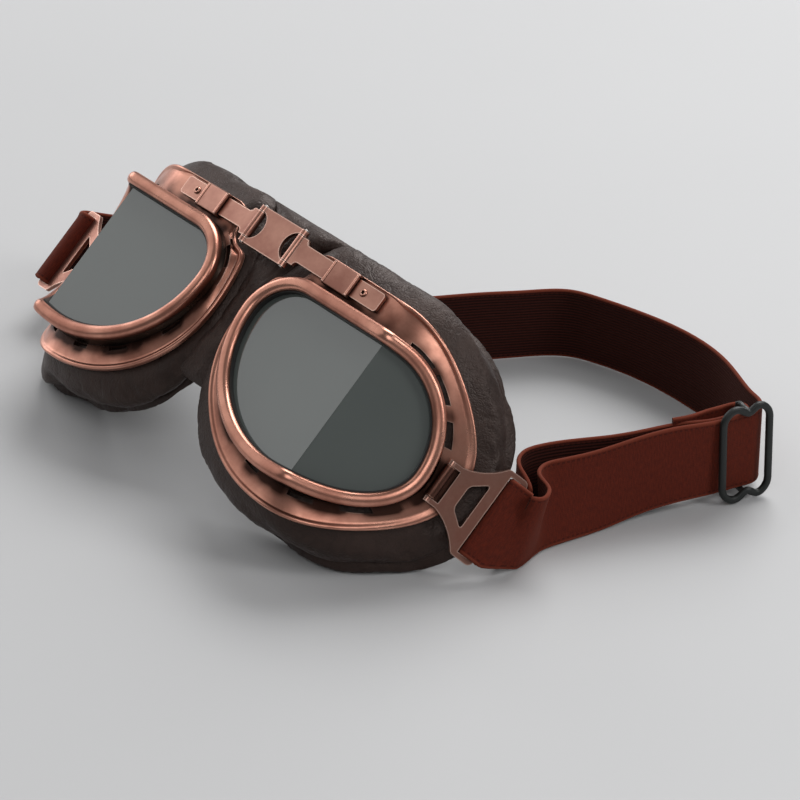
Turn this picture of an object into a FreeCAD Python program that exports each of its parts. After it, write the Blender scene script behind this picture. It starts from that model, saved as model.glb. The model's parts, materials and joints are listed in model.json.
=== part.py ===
import FreeCAD, Part
import math
import os

doc = FreeCAD.newDocument("split_lens_goggles")
sheet = doc.addObject("Spreadsheet::Sheet", "dims")

# Driving dimensions: lengths in millimetres, names ending in deg are angles, in share are ratios
dimensions = [
    ("tilt_deg", 48.5),
    ("bridge_height", 66.0),
    ("bridge_forward", 31.5),
    ("fold_deg", 5.5),
    ("pin_half_spacing", 9.3),
    ("pin_radius", 0.65),
    ("pin_overhang", 0.4),
    ("press_clearance", 0.01),
    ("running_clearance", 0.05),
    ("seat_clearance", 0.02),
    ("knuckle_radius", 1.3),
    ("link_height", 12.0),
    ("link_thickness", 1.2),
    ("link_knuckle_length", 1.6),
    ("link_cutout_gap", 0.35),
    ("slider_thickness", 1.1),
    ("slider_head_gap", 0.15),
    ("slider_head_length", 3.2),
    ("tongue_height", 5.7),
    ("tongue_length", 36.6),
    ("tongue_corner_radius", 1.0),
    ("slider_flange_gap", 0.2),
    ("keeper_rivet_gap", 3.7),
    ("keeper_length", 10.3),
    ("keeper_wall", 0.8),
    ("keeper_gap", 0.2),
    ("keeper_edge_radius", 0.5),
    ("rivet_end_margin", 6.8),
    ("rivet_head_radius", 1.15),
    ("rivet_head_height", 0.55),
    ("rivet_shank_radius", 0.7),
    ("pane_forward", 2.3),
    ("pane_bend_deg", 49.4),
    ("crease_x", 59.8),
    ("bezel_top_level", -7.2),
    ("bezel_nose_x", 11.0),
    ("bezel_nose_level", -20.7),
    ("bezel_bottom_level", -54.0),
    ("bezel_bottom_x", 51.0),
    ("bezel_temple_x", 89.9),
    ("bezel_temple_level", -31.9),
    ("bezel_top_nose_x", 26.3),
    ("bezel_top_temple_x", 65.6),
    ("bezel_half_width", 1.95),
    ("bezel_crown", 1.5),
    ("bezel_back", 1.45),
    ("bezel_shoulder_share", 0.72),
    ("gasket_front", 0.3),
    ("gasket_back", 3.2),
    ("gasket_reach", 2.4),
    ("gasket_outer", 0.0),
    ("lens_front", 1.85),
    ("lens_thickness", 0.9),
    ("lens_edge", 0.5),
    ("lens_clearance", 0.1),
    ("lens_crease_gap", 0.03),
    ("housing_outer", 1.4),
    ("housing_inner", 0.5),
    ("housing_flare", 0.5),
    ("base_temple_x", 76.4),
    ("base_top_temple_x", 60.0),
    ("flange_top_level", 4.0),
    ("flange_nose_x", 3.4),
    ("flange_nose_level", -25.3),
    ("flange_bottom_level", -63.3),
    ("flange_bottom_x", 52.0),
    ("flange_temple_x", 86.3),
    ("flange_temple_level", -28.5),
    ("flange_top_nose_x", 22.4),
    ("flange_top_temple_x", 53.0),
    ("flange_thickness", 1.2),
    ("flange_bead_height", 0.7),
    ("flange_bead_width", 1.1),
    ("flange_opening", 0.4),
    ("flange_wrap_start", 50.0),
    ("flange_wrap_depth", 29.6),
    ("hinge_notch_radius", 8.5),
    ("vent_width", 1.6),
    ("vent_length", 8.0),
    ("vent_offset", 3.4),
    ("cushion_gap", 0.4),
    ("cushion_inset", 1.0),
    ("cushion_opening", 1.2),
    ("cushion_top_bulge", 6.8),
    ("cushion_bottom_bulge", 4.6),
    ("cushion_temple_bulge", 3.0),
    ("cushion_nose_bulge", 2.4),
    ("rim_top_level", 6.5),
    ("rim_nose_x", 6.0),
    ("rim_nose_level", -30.0),
    ("rim_bottom_level", -65.5),
    ("rim_bottom_x", 53.0),
    ("rim_temple_x", 87.5),
    ("rim_temple_level", -31.0),
    ("rim_top_nose_x", 21.0),
    ("rim_top_temple_x", 54.0),
    ("rim_nose_depth", 14.0),
    ("rim_slope_share", 0.28),
    ("rim_temple_gain", 6.0),
    ("rim_width", 8.0),
    ("rim_clearance", 0.7),
    ("table_clearance", 0.1),
    ("nose_panel_gap", 2.2),
    ("nose_panel_bottom_gap", 7.4),
    ("nose_panel_top_gap", 7.8),
    ("nose_panel_top", 9.4),
    ("nose_panel_bottom", -46.0),
    ("nose_panel_front", 2.6),
    ("nose_panel_back", 12.5),
    ("nose_panel_hem", 4.4),
    ("nose_panel_crown", 1.0),
    ("lug_x", 79.4),
    ("lug_level", -29.8),
    ("left_lug_level", -33.5),
    ("lug_length", 10.0),
    ("lug_radius", 1.6),
    ("lug_standoff", 2.2),
    ("lug_tab_width", 2.4),
    ("bracket_bar_radius", 0.8),
    ("bracket_thickness", 1.3),
    ("bracket_arm_half_height", 6.6),
    ("bracket_arm_back", 1.2),
    ("bracket_arm_gap", 0.15),
    ("bracket_neck", 3.0),
    ("bracket_waist_run", 8.0),
    ("bracket_waist_half_height", 8.6),
    ("bracket_shoulder_run", 14.0),
    ("bracket_end_wall", 1.6),
    ("bracket_length", 20.8),
    ("bracket_corner_radius", 1.6),
    ("bracket_window_start", 7.4),
    ("bracket_window_end", 12.2),
    ("bracket_window_near", 3.6),
    ("bracket_window_far", 7.2),
    ("bracket_slot_start", 15.4),
    ("bracket_slot_end", 18.6),
    ("bracket_slot_margin", 0.4),
    ("right_bracket_deg", 58.0),
    ("left_bracket_deg", 12.0),
    ("strap_width", 24.0),
    ("strap_thickness", 1.1),
    ("strap_loop_centre", 19.2),
    ("strap_loop_radius", 1.5),
    ("strap_loop_end", 21.5),
    ("strap_joint_gap", 0.3),
    ("strap_lead_out", 1.5),
    ("tri_x", 105.3),
    ("tri_y", 84.0),
    ("tri_turn_deg", 11.5),
    ("tri_half_length", 7.6),
    ("tri_wave_length", 12.8),
    ("tri_amplitude", 3.2),
    ("tri_thickness", 1.8),
    ("tri_end_bar", 2.6),
    ("tri_window_gap", 0.4),
    ("tri_bar_half_width", 0.8),
    ("tri_rail_start", 5.2),
    ("tri_strap_offset", 0.65),
    ("tri_wrap_radius", 2.55),
    ("tri_tail", 9.0),
    ("tri_lead", 9.0),
]
# Sizes that follow from others
followers = [
    ("slider_head_height", "=link_height - 2 * link_knuckle_length - 2 * slider_head_gap"),
    ("link_cutout_radius", "=slider_head_height / 2 + link_cutout_gap"),
    ("rivet_offset", "=tongue_length - rivet_end_margin"),
    ("keeper_start", "=rivet_offset - keeper_rivet_gap - keeper_length"),
    ("bracket_half_height", "=strap_width / 2 + bracket_slot_margin + bracket_end_wall"),
]
for row, (name, value) in enumerate(dimensions + followers, start=1):
    sheet.set("A%d" % row, name)
    sheet.set("B%d" % row, str(value))
    sheet.setAlias("B%d" % row, name)
doc.recompute()
size = {name: float(sheet.get(name)) for name, value in dimensions + followers}

quarter_turn = math.pi / 2
vector = FreeCAD.Vector
origin = vector(0, 0, 0)
axis_x = vector(1, 0, 0)
axis_y = vector(0, 1, 0)
axis_z = vector(0, 0, 1)
tilt = math.radians(size["tilt_deg"])
bend = math.radians(size["pane_bend_deg"])

# The mask leans back about the width axis; a slider frame starts at the right hinge pin
bridge_place = vector(0, -size["bridge_forward"], size["bridge_height"])
mask = FreeCAD.Placement(bridge_place, FreeCAD.Rotation(axis_x, -size["tilt_deg"]))
pin_point = vector(size["pin_half_spacing"], 0, 0)
slider_local = FreeCAD.Placement(pin_point, FreeCAD.Rotation(axis_z, size["fold_deg"]))
slider_frame = mask.multiply(slider_local)


# Document helpers
def primitive(kind, name, sizes, base, turn=None):
    made = doc.addObject("Part::" + kind, name)
    for prop, formula in sizes.items():
        made.setExpression(prop, formula)
    if turn is not None:
        made.Placement = FreeCAD.Placement(origin, turn)
    for letter, formula in zip("xyz", base):
        made.setExpression("Placement.Base." + letter, formula)
    return made


def fuse(name, members):
    made = doc.addObject("Part::MultiFuse", name)
    made.Shapes = members
    made.Refine = True
    return made


def cut(name, base, tool):
    made = doc.addObject("Part::Cut", name)
    made.Base = base
    made.Tool = tool
    made.Refine = True
    return made


def rounded(name, base, radius, wanted):
    doc.recompute()
    made = doc.addObject("Part::Fillet", name)
    made.Base = base
    chosen = [number for number, edge in enumerate(base.Shape.Edges, start=1) if wanted(edge)]
    made.Edges = [(number, radius, radius) for number in chosen]
    return made


def solid_feature(name, shape):
    made = doc.addObject("Part::Feature", name)
    made.Shape = shape
    return made


def mirrored(name, source):
    made = doc.addObject("Part::Mirroring", name)
    made.Source = source
    made.Base = origin
    made.Normal = axis_x
    return made


nodes = {}


def node(label, made, placement):
    made.Label = label
    if placement is not None:
        made.Placement = placement
    nodes[label] = made
    return made


# Outlines made of a straight top and four quarter ellipses, seen along the depth axis
outline_keys = (
    "top_level",
    "nose_x",
    "nose_level",
    "bottom_level",
    "bottom_x",
    "temple_x",
    "temple_level",
    "top_nose_x",
    "top_temple_x",
)


def outline_named(prefix):
    return {key: size[prefix + "_" + key] for key in outline_keys}


bezel_outline = outline_named("bezel")
flange_outline = outline_named("flange")
rim_outline = outline_named("rim")
base_outline = dict(bezel_outline)
base_outline["temple_x"] = size["base_temple_x"]
base_outline["top_temple_x"] = size["base_top_temple_x"]


def outline_point(o, piece, share):
    angle = share * quarter_turn
    sine = math.sin(angle)
    cosine = math.cos(angle)
    if piece == 0:
        x = o["top_temple_x"] + (o["top_nose_x"] - o["top_temple_x"]) * share
        return x, o["top_level"], 0.0, 1.0
    if piece == 1:
        centre_x, centre_z = o["top_nose_x"], o["nose_level"]
        reach_x, reach_z = centre_x - o["nose_x"], o["top_level"] - centre_z
        side_x, side_z = -sine, cosine
    elif piece == 2:
        centre_x, centre_z = o["bottom_x"], o["nose_level"]
        reach_x, reach_z = centre_x - o["nose_x"], centre_z - o["bottom_level"]
        side_x, side_z = -cosine, -sine
    elif piece == 3:
        centre_x, centre_z = o["bottom_x"], o["temple_level"]
        reach_x, reach_z = o["temple_x"] - centre_x, centre_z - o["bottom_level"]
        side_x, side_z = sine, -cosine
    else:
        centre_x, centre_z = o["top_temple_x"], o["temple_level"]
        reach_x, reach_z = o["temple_x"] - centre_x, o["top_level"] - centre_z
        side_x, side_z = cosine, sine
    normal_x, normal_z = side_x / reach_x, side_z / reach_z
    length = math.hypot(normal_x, normal_z)
    return centre_x + reach_x * side_x, centre_z + reach_z * side_z, normal_x / length, normal_z / length


def offset_point(o, piece, share, offset):
    x, z, normal_x, normal_z = outline_point(o, piece, share)
    return x + normal_x * offset, z + normal_z * offset


# Stations along an outline, split where the panes meet at the crease
top_reach = bezel_outline["top_temple_x"] - bezel_outline["top_nose_x"]
crease_top_share = (bezel_outline["top_temple_x"] - size["crease_x"]) / top_reach
bottom_reach = bezel_outline["temple_x"] - bezel_outline["bottom_x"]
crease_bottom_share = math.asin((size["crease_x"] - bezel_outline["bottom_x"]) / bottom_reach) / quarter_turn


def run(piece, first, last, count):
    return [(piece, first + (last - first) * step / count) for step in range(count)]


front_stations = run(0, crease_top_share, 1.0, 5) + run(1, 0.0, 1.0, 7) + run(2, 0.0, 1.0, 9)
front_stations = front_stations + run(3, 0.0, crease_bottom_share, 3) + [(3, crease_bottom_share)]
side_stations = run(3, crease_bottom_share, 1.0, 8) + run(4, 0.0, 1.0, 8)
side_stations = side_stations + run(0, 0.0, crease_top_share, 2) + [(0, crease_top_share)]
segments = (front_stations, side_stations)


def chord_shares(points):
    total = [0.0]
    for before, after in zip(points, points[1:]):
        total.append(total[-1] + (after - before).Length)
    return [value / total[-1] for value in total]


def flat_point(station):
    x, z = offset_point(bezel_outline, station[0], station[1], 0.0)
    return vector(x, 0, z)


segment_shares = [chord_shares([flat_point(station) for station in stations]) for stations in segments]


def spline(points, shares):
    made = Part.BSplineCurve()
    made.interpolate(Points=points, Parameters=shares)
    return made


def ruled_face(near, far):
    made = Part.BSplineSurface()
    poles = [[start, end] for start, end in zip(near.getPoles(), far.getPoles())]
    counts, knots = near.getMultiplicities(), near.getKnots()
    made.buildFromPolesMultsKnots(poles, counts, [2, 2], knots, [0.0, 1.0], False, False, near.Degree, 1)
    return made.toShape()


def closed_solid(faces):
    skin = Part.Compound(faces)
    skin.sewShape()
    made = Part.Solid(skin.Shells[0])
    if made.Volume < 0:
        made.reverse()
    return made


def ring_solid(rules):
    rings = []
    for rule in rules:
        edges = []
        for stations, shares in zip(segments, segment_shares):
            edges.append(spline([rule(piece, share) for piece, share in stations], shares))
        rings.append(edges)
    faces = []
    for ring, following in zip(rings, rings[1:] + rings[:1]):
        for near, far in zip(ring, following):
            faces.append(ruled_face(near, far))
    return closed_solid(faces)


# The two flat panes, folded at the crease, with a depth measured back from the pane plane
def folded(x, z, depth):
    setback = depth * math.tan(bend / 2)
    nose_x = bezel_outline["nose_x"]
    if x <= size["crease_x"]:
        stretch = (size["crease_x"] - setback - nose_x) / (size["crease_x"] - nose_x)
        return vector(nose_x + (x - nose_x) * stretch, depth - size["pane_forward"], z)
    side_length = bezel_outline["temple_x"] - size["crease_x"]
    along = setback + (x - size["crease_x"]) * (side_length - setback) / side_length
    back_x = size["crease_x"] + along * math.cos(bend) - depth * math.sin(bend)
    back_y = along * math.sin(bend) + depth * math.cos(bend) - size["pane_forward"]
    return vector(back_x, back_y, z)


def pane_rule(offset, depth):
    def rule(piece, share):
        x, z, normal_x, normal_z = outline_point(bezel_outline, piece, share)
        at_crease = (piece, share) in ((0, crease_top_share), (3, crease_bottom_share))
        shift_x = 0.0 if at_crease else normal_x * offset
        return folded(x + shift_x, z + normal_z * offset, depth)

    return rule


# The flange surface: a plane behind the slider that wraps back towards the temple
wrap_reach = size["flange_temple_x"] - size["flange_wrap_start"]
wrap_factor = size["flange_wrap_depth"] / wrap_reach**2
flange_slope = math.tan(math.radians(size["fold_deg"]))
slider_back = size["slider_thickness"] / 2 + size["slider_flange_gap"]
flange_start = slider_back / math.cos(math.radians(size["fold_deg"]))


def flange_y(x):
    beyond = max(x - size["flange_wrap_start"], 0.0)
    return flange_start + flange_slope * (x - size["pin_half_spacing"]) + wrap_factor * beyond**2


def flange_angle(x):
    beyond = max(x - size["flange_wrap_start"], 0.0)
    return math.atan(flange_slope + 2 * wrap_factor * beyond)


def on_flange(x, z, lift):
    angle = flange_angle(x)
    return vector(x - lift * math.sin(angle), flange_y(x) + lift * math.cos(angle), z)


def flange_rule(o, offset, lift):
    def rule(piece, share):
        x, z = offset_point(o, piece, share, offset)
        return on_flange(x, z, lift)

    return rule


def between_rule(inner_offset, outer_offset, between_share, lift):
    def rule(piece, share):
        inner_x, inner_z = offset_point(base_outline, piece, share, inner_offset)
        outer_x, outer_z = offset_point(flange_outline, piece, share, outer_offset)
        x = inner_x + (outer_x - inner_x) * between_share
        return on_flange(x, inner_z + (outer_z - inner_z) * between_share, lift)

    return rule


# Bridge link with end knuckles and a half-round cutout beside each hinge
along_y = FreeCAD.Rotation(axis_x, -90)
link_plate = primitive(
    "Box",
    "link_plate",
    {
        "Length": "2 * dims.pin_half_spacing",
        "Width": "dims.link_thickness",
        "Height": "dims.link_height",
    },
    ("-dims.pin_half_spacing", "-dims.link_thickness / 2", "-dims.link_height / 2"),
)
link_cutouts = []
link_knuckles = []
link_bores = []
for side, sign in (("left", "-"), ("right", "")):
    pin_place = sign + "dims.pin_half_spacing"
    link_cutouts.append(
        primitive(
            "Cylinder",
            "link_cutout_" + side,
            {"Radius": "dims.link_cutout_radius", "Height": "2 * dims.link_thickness"},
            (pin_place, "-dims.link_thickness", "0"),
            along_y,
        )
    )
    knuckle_levels = ("-dims.link_height / 2", "dims.link_height / 2 - dims.link_knuckle_length")
    for end, level in zip(("low", "high"), knuckle_levels):
        link_knuckles.append(
            primitive(
                "Cylinder",
                "link_knuckle_" + end + "_" + side,
                {"Radius": "dims.knuckle_radius", "Height": "dims.link_knuckle_length"},
                (pin_place, "0", level),
            )
        )
    link_bores.append(
        primitive(
            "Cylinder",
            "link_bore_" + side,
            {"Radius": "dims.pin_radius + dims.press_clearance", "Height": "2 * dims.link_height"},
            (pin_place, "0", "-dims.link_height"),
        )
    )
link_cut = cut("link_cut", link_plate, fuse("link_cutouts", link_cutouts))
link_body = fuse("link_body", [link_cut] + link_knuckles)
node("bridge_link", cut("link_bored", link_body, fuse("link_bores", link_bores)), mask)

for side, sign in (("left", "-"), ("right", "")):
    pin = primitive(
        "Cylinder",
        side + "_pin_body",
        {"Radius": "dims.pin_radius", "Height": "dims.link_height + 2 * dims.pin_overhang"},
        ("0", "0", "0"),
    )
    pin_local = vector(size["pin_half_spacing"], 0, -size["link_height"] / 2 - size["pin_overhang"])
    if sign:
        pin_local.x = -pin_local.x
    for letter in "xyz":
        pin.setExpression("Placement.Base." + letter, None)
    node(side + "_pin", pin, mask.multiply(FreeCAD.Placement(pin_local, FreeCAD.Rotation())))

# Slider: a head on the pin and a tongue with rounded end corners
tongue = primitive(
    "Box",
    "tongue",
    {"Length": "dims.tongue_length", "Width": "dims.slider_thickness", "Height": "dims.tongue_height"},
    ("0", "-dims.slider_thickness / 2", "-dims.tongue_height / 2"),
)
head = primitive(
    "Box",
    "slider_head",
    {
        "Length": "dims.slider_head_length",
        "Width": "dims.slider_thickness",
        "Height": "dims.slider_head_height",
    },
    ("0", "-dims.slider_thickness / 2", "-dims.slider_head_height / 2"),
)
barrel = primitive(
    "Cylinder",
    "slider_barrel",
    {"Radius": "dims.knuckle_radius", "Height": "dims.slider_head_height"},
    ("0", "0", "-dims.slider_head_height / 2"),
)
slider_bore = primitive(
    "Cylinder",
    "slider_bore",
    {"Radius": "dims.pin_radius + dims.running_clearance", "Height": "2 * dims.slider_head_height"},
    ("0", "0", "-dims.slider_head_height"),
)
rivet_hole = primitive(
    "Cylinder",
    "rivet_hole",
    {"Radius": "dims.rivet_shank_radius + dims.press_clearance", "Height": "2 * dims.slider_thickness"},
    ("dims.rivet_offset", "-dims.slider_thickness", "0"),
    along_y,
)
slider_body = fuse("slider_body", [tongue, head, barrel])
slider_plain = cut("slider_plain", slider_body, fuse("slider_holes", [slider_bore, rivet_hole]))


def tongue_corner(edge):
    box = edge.BoundBox
    upright = box.XLength < size["seat_clearance"] and box.ZLength < size["seat_clearance"]
    return upright and abs(box.XMax - size["tongue_length"]) < size["seat_clearance"]


slider_rounded = rounded("slider_rounded", slider_plain, size["tongue_corner_radius"], tongue_corner)
right_slider = node("right_slider", slider_rounded, slider_frame)

rivet_head = primitive(
    "Cylinder",
    "rivet_head",
    {"Radius": "dims.rivet_head_radius", "Height": "dims.rivet_head_height"},
    ("dims.rivet_offset", "-dims.slider_thickness / 2 - dims.rivet_head_height", "0"),
    along_y,
)
rivet_shank = primitive(
    "Cylinder",
    "rivet_shank",
    {"Radius": "dims.rivet_shank_radius", "Height": "dims.slider_thickness"},
    ("dims.rivet_offset", "-dims.slider_thickness / 2", "0"),
    along_y,
)
right_rivet = node("right_stop_rivet", fuse("rivet_body", [rivet_head, rivet_shank]), slider_frame)

# Keeper: a box loop over the tongue, open towards the flange
keeper_depth = "dims.slider_thickness + dims.keeper_gap + dims.keeper_wall"
keeper_block = primitive(
    "Box",
    "keeper_block",
    {
        "Length": "dims.keeper_length",
        "Width": keeper_depth + " + dims.slider_flange_gap - dims.seat_clearance",
        "Height": "dims.tongue_height + 2 * dims.keeper_gap + 2 * dims.keeper_wall",
    },
    (
        "dims.keeper_start",
        "-dims.slider_thickness / 2 - dims.keeper_gap - dims.keeper_wall",
        "-dims.tongue_height / 2 - dims.keeper_gap - dims.keeper_wall",
    ),
)
keeper_tunnel = primitive(
    "Box",
    "keeper_tunnel",
    {
        "Length": "2 * dims.keeper_length",
        "Width": "2 * dims.slider_thickness + dims.keeper_gap + dims.slider_flange_gap",
        "Height": "dims.tongue_height + 2 * dims.keeper_gap",
    },
    (
        "dims.keeper_start - dims.keeper_length / 2",
        "-dims.slider_thickness / 2 - dims.keeper_gap",
        "-dims.tongue_height / 2 - dims.keeper_gap",
    ),
)
keeper_front = -size["slider_thickness"] / 2 - size["keeper_gap"] - size["keeper_wall"]


def keeper_edge(edge):
    box = edge.BoundBox
    lengthwise = box.YLength < size["seat_clearance"] and box.ZLength < size["seat_clearance"]
    return lengthwise and abs(box.YMin - keeper_front) < size["seat_clearance"]


keeper_plain = cut("keeper_plain", keeper_block, keeper_tunnel)
keeper_rounded = rounded("keeper_rounded", keeper_plain, size["keeper_edge_radius"], keeper_edge)
right_keeper = node("right_keeper", keeper_rounded, slider_frame)

# Bezel: a half-round rim along both panes
shoulder = size["bezel_half_width"] * size["bezel_shoulder_share"]
shoulder_depth = -size["bezel_crown"] * size["bezel_shoulder_share"]
bezel_section = [
    (-size["bezel_half_width"], size["bezel_back"]),
    (-size["bezel_half_width"], 0.0),
    (-shoulder, shoulder_depth),
    (0.0, -size["bezel_crown"]),
    (shoulder, shoulder_depth),
    (size["bezel_half_width"], 0.0),
    (size["bezel_half_width"], size["bezel_back"]),
]
bezel_shape = ring_solid([pane_rule(offset, depth) for offset, depth in bezel_section])
right_bezel = node("right_bezel", solid_feature("bezel_body", bezel_shape), mask)

# Gasket: a grooved ring that lines the bezel and holds the pane edges
liner = -size["bezel_half_width"] - size["seat_clearance"]
groove_front = size["lens_front"] - size["lens_clearance"]
groove_back = size["lens_front"] + size["lens_thickness"] + size["lens_clearance"]
groove_floor = -size["lens_edge"] + size["lens_clearance"]
gasket_seat = size["bezel_back"] + size["seat_clearance"]
gasket_section = [
    (-size["gasket_reach"], size["gasket_front"]),
    (liner, size["gasket_front"]),
    (liner, gasket_seat),
    (size["gasket_outer"], gasket_seat),
    (size["gasket_outer"], size["gasket_back"]),
    (-size["gasket_reach"], size["gasket_back"]),
    (-size["gasket_reach"], groove_back),
    (groove_floor, groove_back),
    (groove_floor, groove_front),
    (-size["gasket_reach"], groove_front),
]
gasket_shape = ring_solid([pane_rule(offset, depth) for offset, depth in gasket_section])
right_gasket = node("right_gasket", solid_feature("gasket_body", gasket_shape), mask)


# Lenses: flat panes with bevelled edges where they meet
def lens_wire(stations, shares, depth, pull):
    points = [pane_rule(-size["lens_edge"], depth)(piece, share).add(pull) for piece, share in stations]
    return Part.Wire([spline(points, shares).toShape(), Part.makeLine(points[-1], points[0])])


lens_back = size["lens_front"] + size["lens_thickness"]
front_pull = vector(-size["lens_crease_gap"], 0, 0)
side_pull = vector(math.cos(bend), math.sin(bend), 0) * size["lens_crease_gap"]
lens_shapes = []
for stations, shares, pull in zip(segments, segment_shares, (front_pull, side_pull)):
    lens_wires = [lens_wire(stations, shares, depth, pull) for depth in (size["lens_front"], lens_back)]
    lens_shapes.append(Part.makeLoft(lens_wires, True, True))
right_front_lens = node("right_front_lens", solid_feature("front_lens_body", lens_shapes[0]), mask)
right_side_lens = node("right_side_lens", solid_feature("side_lens_body", lens_shapes[1]), mask)

# Housing: the wall between the bezel and the flange
housing_top = size["bezel_back"] + size["seat_clearance"]
housing_rules = [
    pane_rule(size["housing_inner"], housing_top),
    pane_rule(size["housing_outer"], housing_top),
    flange_rule(base_outline, size["housing_outer"] + size["housing_flare"], -size["seat_clearance"]),
    flange_rule(base_outline, size["housing_inner"], -size["seat_clearance"]),
]
right_housing = node("right_housing", solid_feature("housing_body", ring_solid(housing_rules)), mask)

# Flange: a plate with a rolled edge, a notch around the hinge and vent slots beside the housing
flange_field = -2 * size["flange_bead_width"]
flange_rules = [
    flange_rule(base_outline, size["flange_opening"], 0.0),
    between_rule(size["flange_opening"], flange_field, 0.5, 0.0),
    flange_rule(flange_outline, flange_field, 0.0),
    flange_rule(flange_outline, -size["flange_bead_width"], -size["flange_bead_height"]),
    flange_rule(flange_outline, 0.0, -size["flange_bead_height"] / 2),
    flange_rule(flange_outline, 0.0, size["flange_thickness"]),
    between_rule(size["flange_opening"], 0.0, 0.5, size["flange_thickness"]),
    flange_rule(base_outline, size["flange_opening"], size["flange_thickness"]),
]
flange_shape = ring_solid(flange_rules)
notch_start = vector(size["pin_half_spacing"], -size["hinge_notch_radius"], 0)
notch = Part.makeCylinder(size["hinge_notch_radius"], 3 * size["hinge_notch_radius"], notch_start, axis_y)
flange_shape = flange_shape.cut(notch)
slide_half = size["tongue_height"] / 2 + 2 * size["keeper_gap"] + size["keeper_wall"]
slide_path = Part.makeBox(2 * size["tongue_length"], size["tongue_length"], 2 * slide_half)
slide_path.translate(vector(-size["tongue_length"] / 2, flange_start - size["tongue_length"], -slide_half))
slide_path.Placement = slider_local.multiply(slide_path.Placement)
flange_shape = flange_shape.cut(slide_path)
vent_places = [(1, 0.62), (2, 0.3), (2, 0.62), (2, 0.86), (3, 0.2), (3, 0.5), (4, 0.34), (4, 0.62), (4, 0.9)]
vent_tools = []
for piece, share in vent_places:
    x, z, normal_x, normal_z = outline_point(base_outline, piece, share)
    foot = on_flange(x + normal_x * size["vent_offset"], z + normal_z * size["vent_offset"], 0.0)
    deep = 4 * size["flange_thickness"]
    tool = Part.makeBox(size["vent_length"], deep, size["vent_width"])
    tool.translate(vector(-size["vent_length"] / 2, -deep / 2, -size["vent_width"] / 2))
    tool.rotate(origin, axis_y, math.degrees(math.atan2(normal_x, normal_z)))
    tool.rotate(origin, axis_z, math.degrees(flange_angle(foot.x)))
    tool.translate(foot)
    vent_tools.append(tool)
flange_shape = flange_shape.cut(vent_tools)
right_flange = node("right_flange", solid_feature("flange_body", flange_shape.Solids[0]), mask)

# Hinge lug: a rolled knuckle standing on the flange
def lug(side):
    tube = primitive(
        "Cylinder",
        side + "_lug_tube",
        {"Radius": "dims.lug_radius", "Height": "dims.lug_length"},
        ("0", "0", "-dims.lug_length / 2"),
    )
    tab = primitive(
        "Box",
        side + "_lug_tab",
        {
            "Length": "dims.lug_tab_width",
            "Width": "dims.lug_standoff - dims.seat_clearance",
            "Height": "dims.lug_length",
        },
        ("-dims.lug_tab_width / 2", "0", "-dims.lug_length / 2"),
    )
    bore = primitive(
        "Cylinder",
        side + "_lug_bore",
        {"Radius": "dims.bracket_bar_radius + dims.running_clearance", "Height": "2 * dims.lug_length"},
        ("0", "0", "-dims.lug_length"),
    )
    return cut(side + "_lug_bored", fuse(side + "_lug_body", [tube, tab]), bore)


lug_angle = math.degrees(flange_angle(size["lug_x"]))
hinge_point = on_flange(size["lug_x"], size["lug_level"], -size["lug_standoff"])
left_hinge = vector(-hinge_point.x, hinge_point.y, size["left_lug_level"])
right_lug_local = FreeCAD.Placement(hinge_point, FreeCAD.Rotation(axis_z, lug_angle))
left_lug_local = FreeCAD.Placement(left_hinge, FreeCAD.Rotation(axis_z, -lug_angle))
node("right_lug", lug("right"), mask.multiply(right_lug_local))
node("left_lug", lug("left"), mask.multiply(left_lug_local))


# Strap bracket: a plate with concave sides, a window and a strap slot, hung on a round bar
def polygon_face(points):
    return Part.Face(Part.makePolygon(points + points[:1]))


def bracket_point(run_length, level):
    return vector(run_length, -size["bracket_thickness"] / 2, level)


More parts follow.
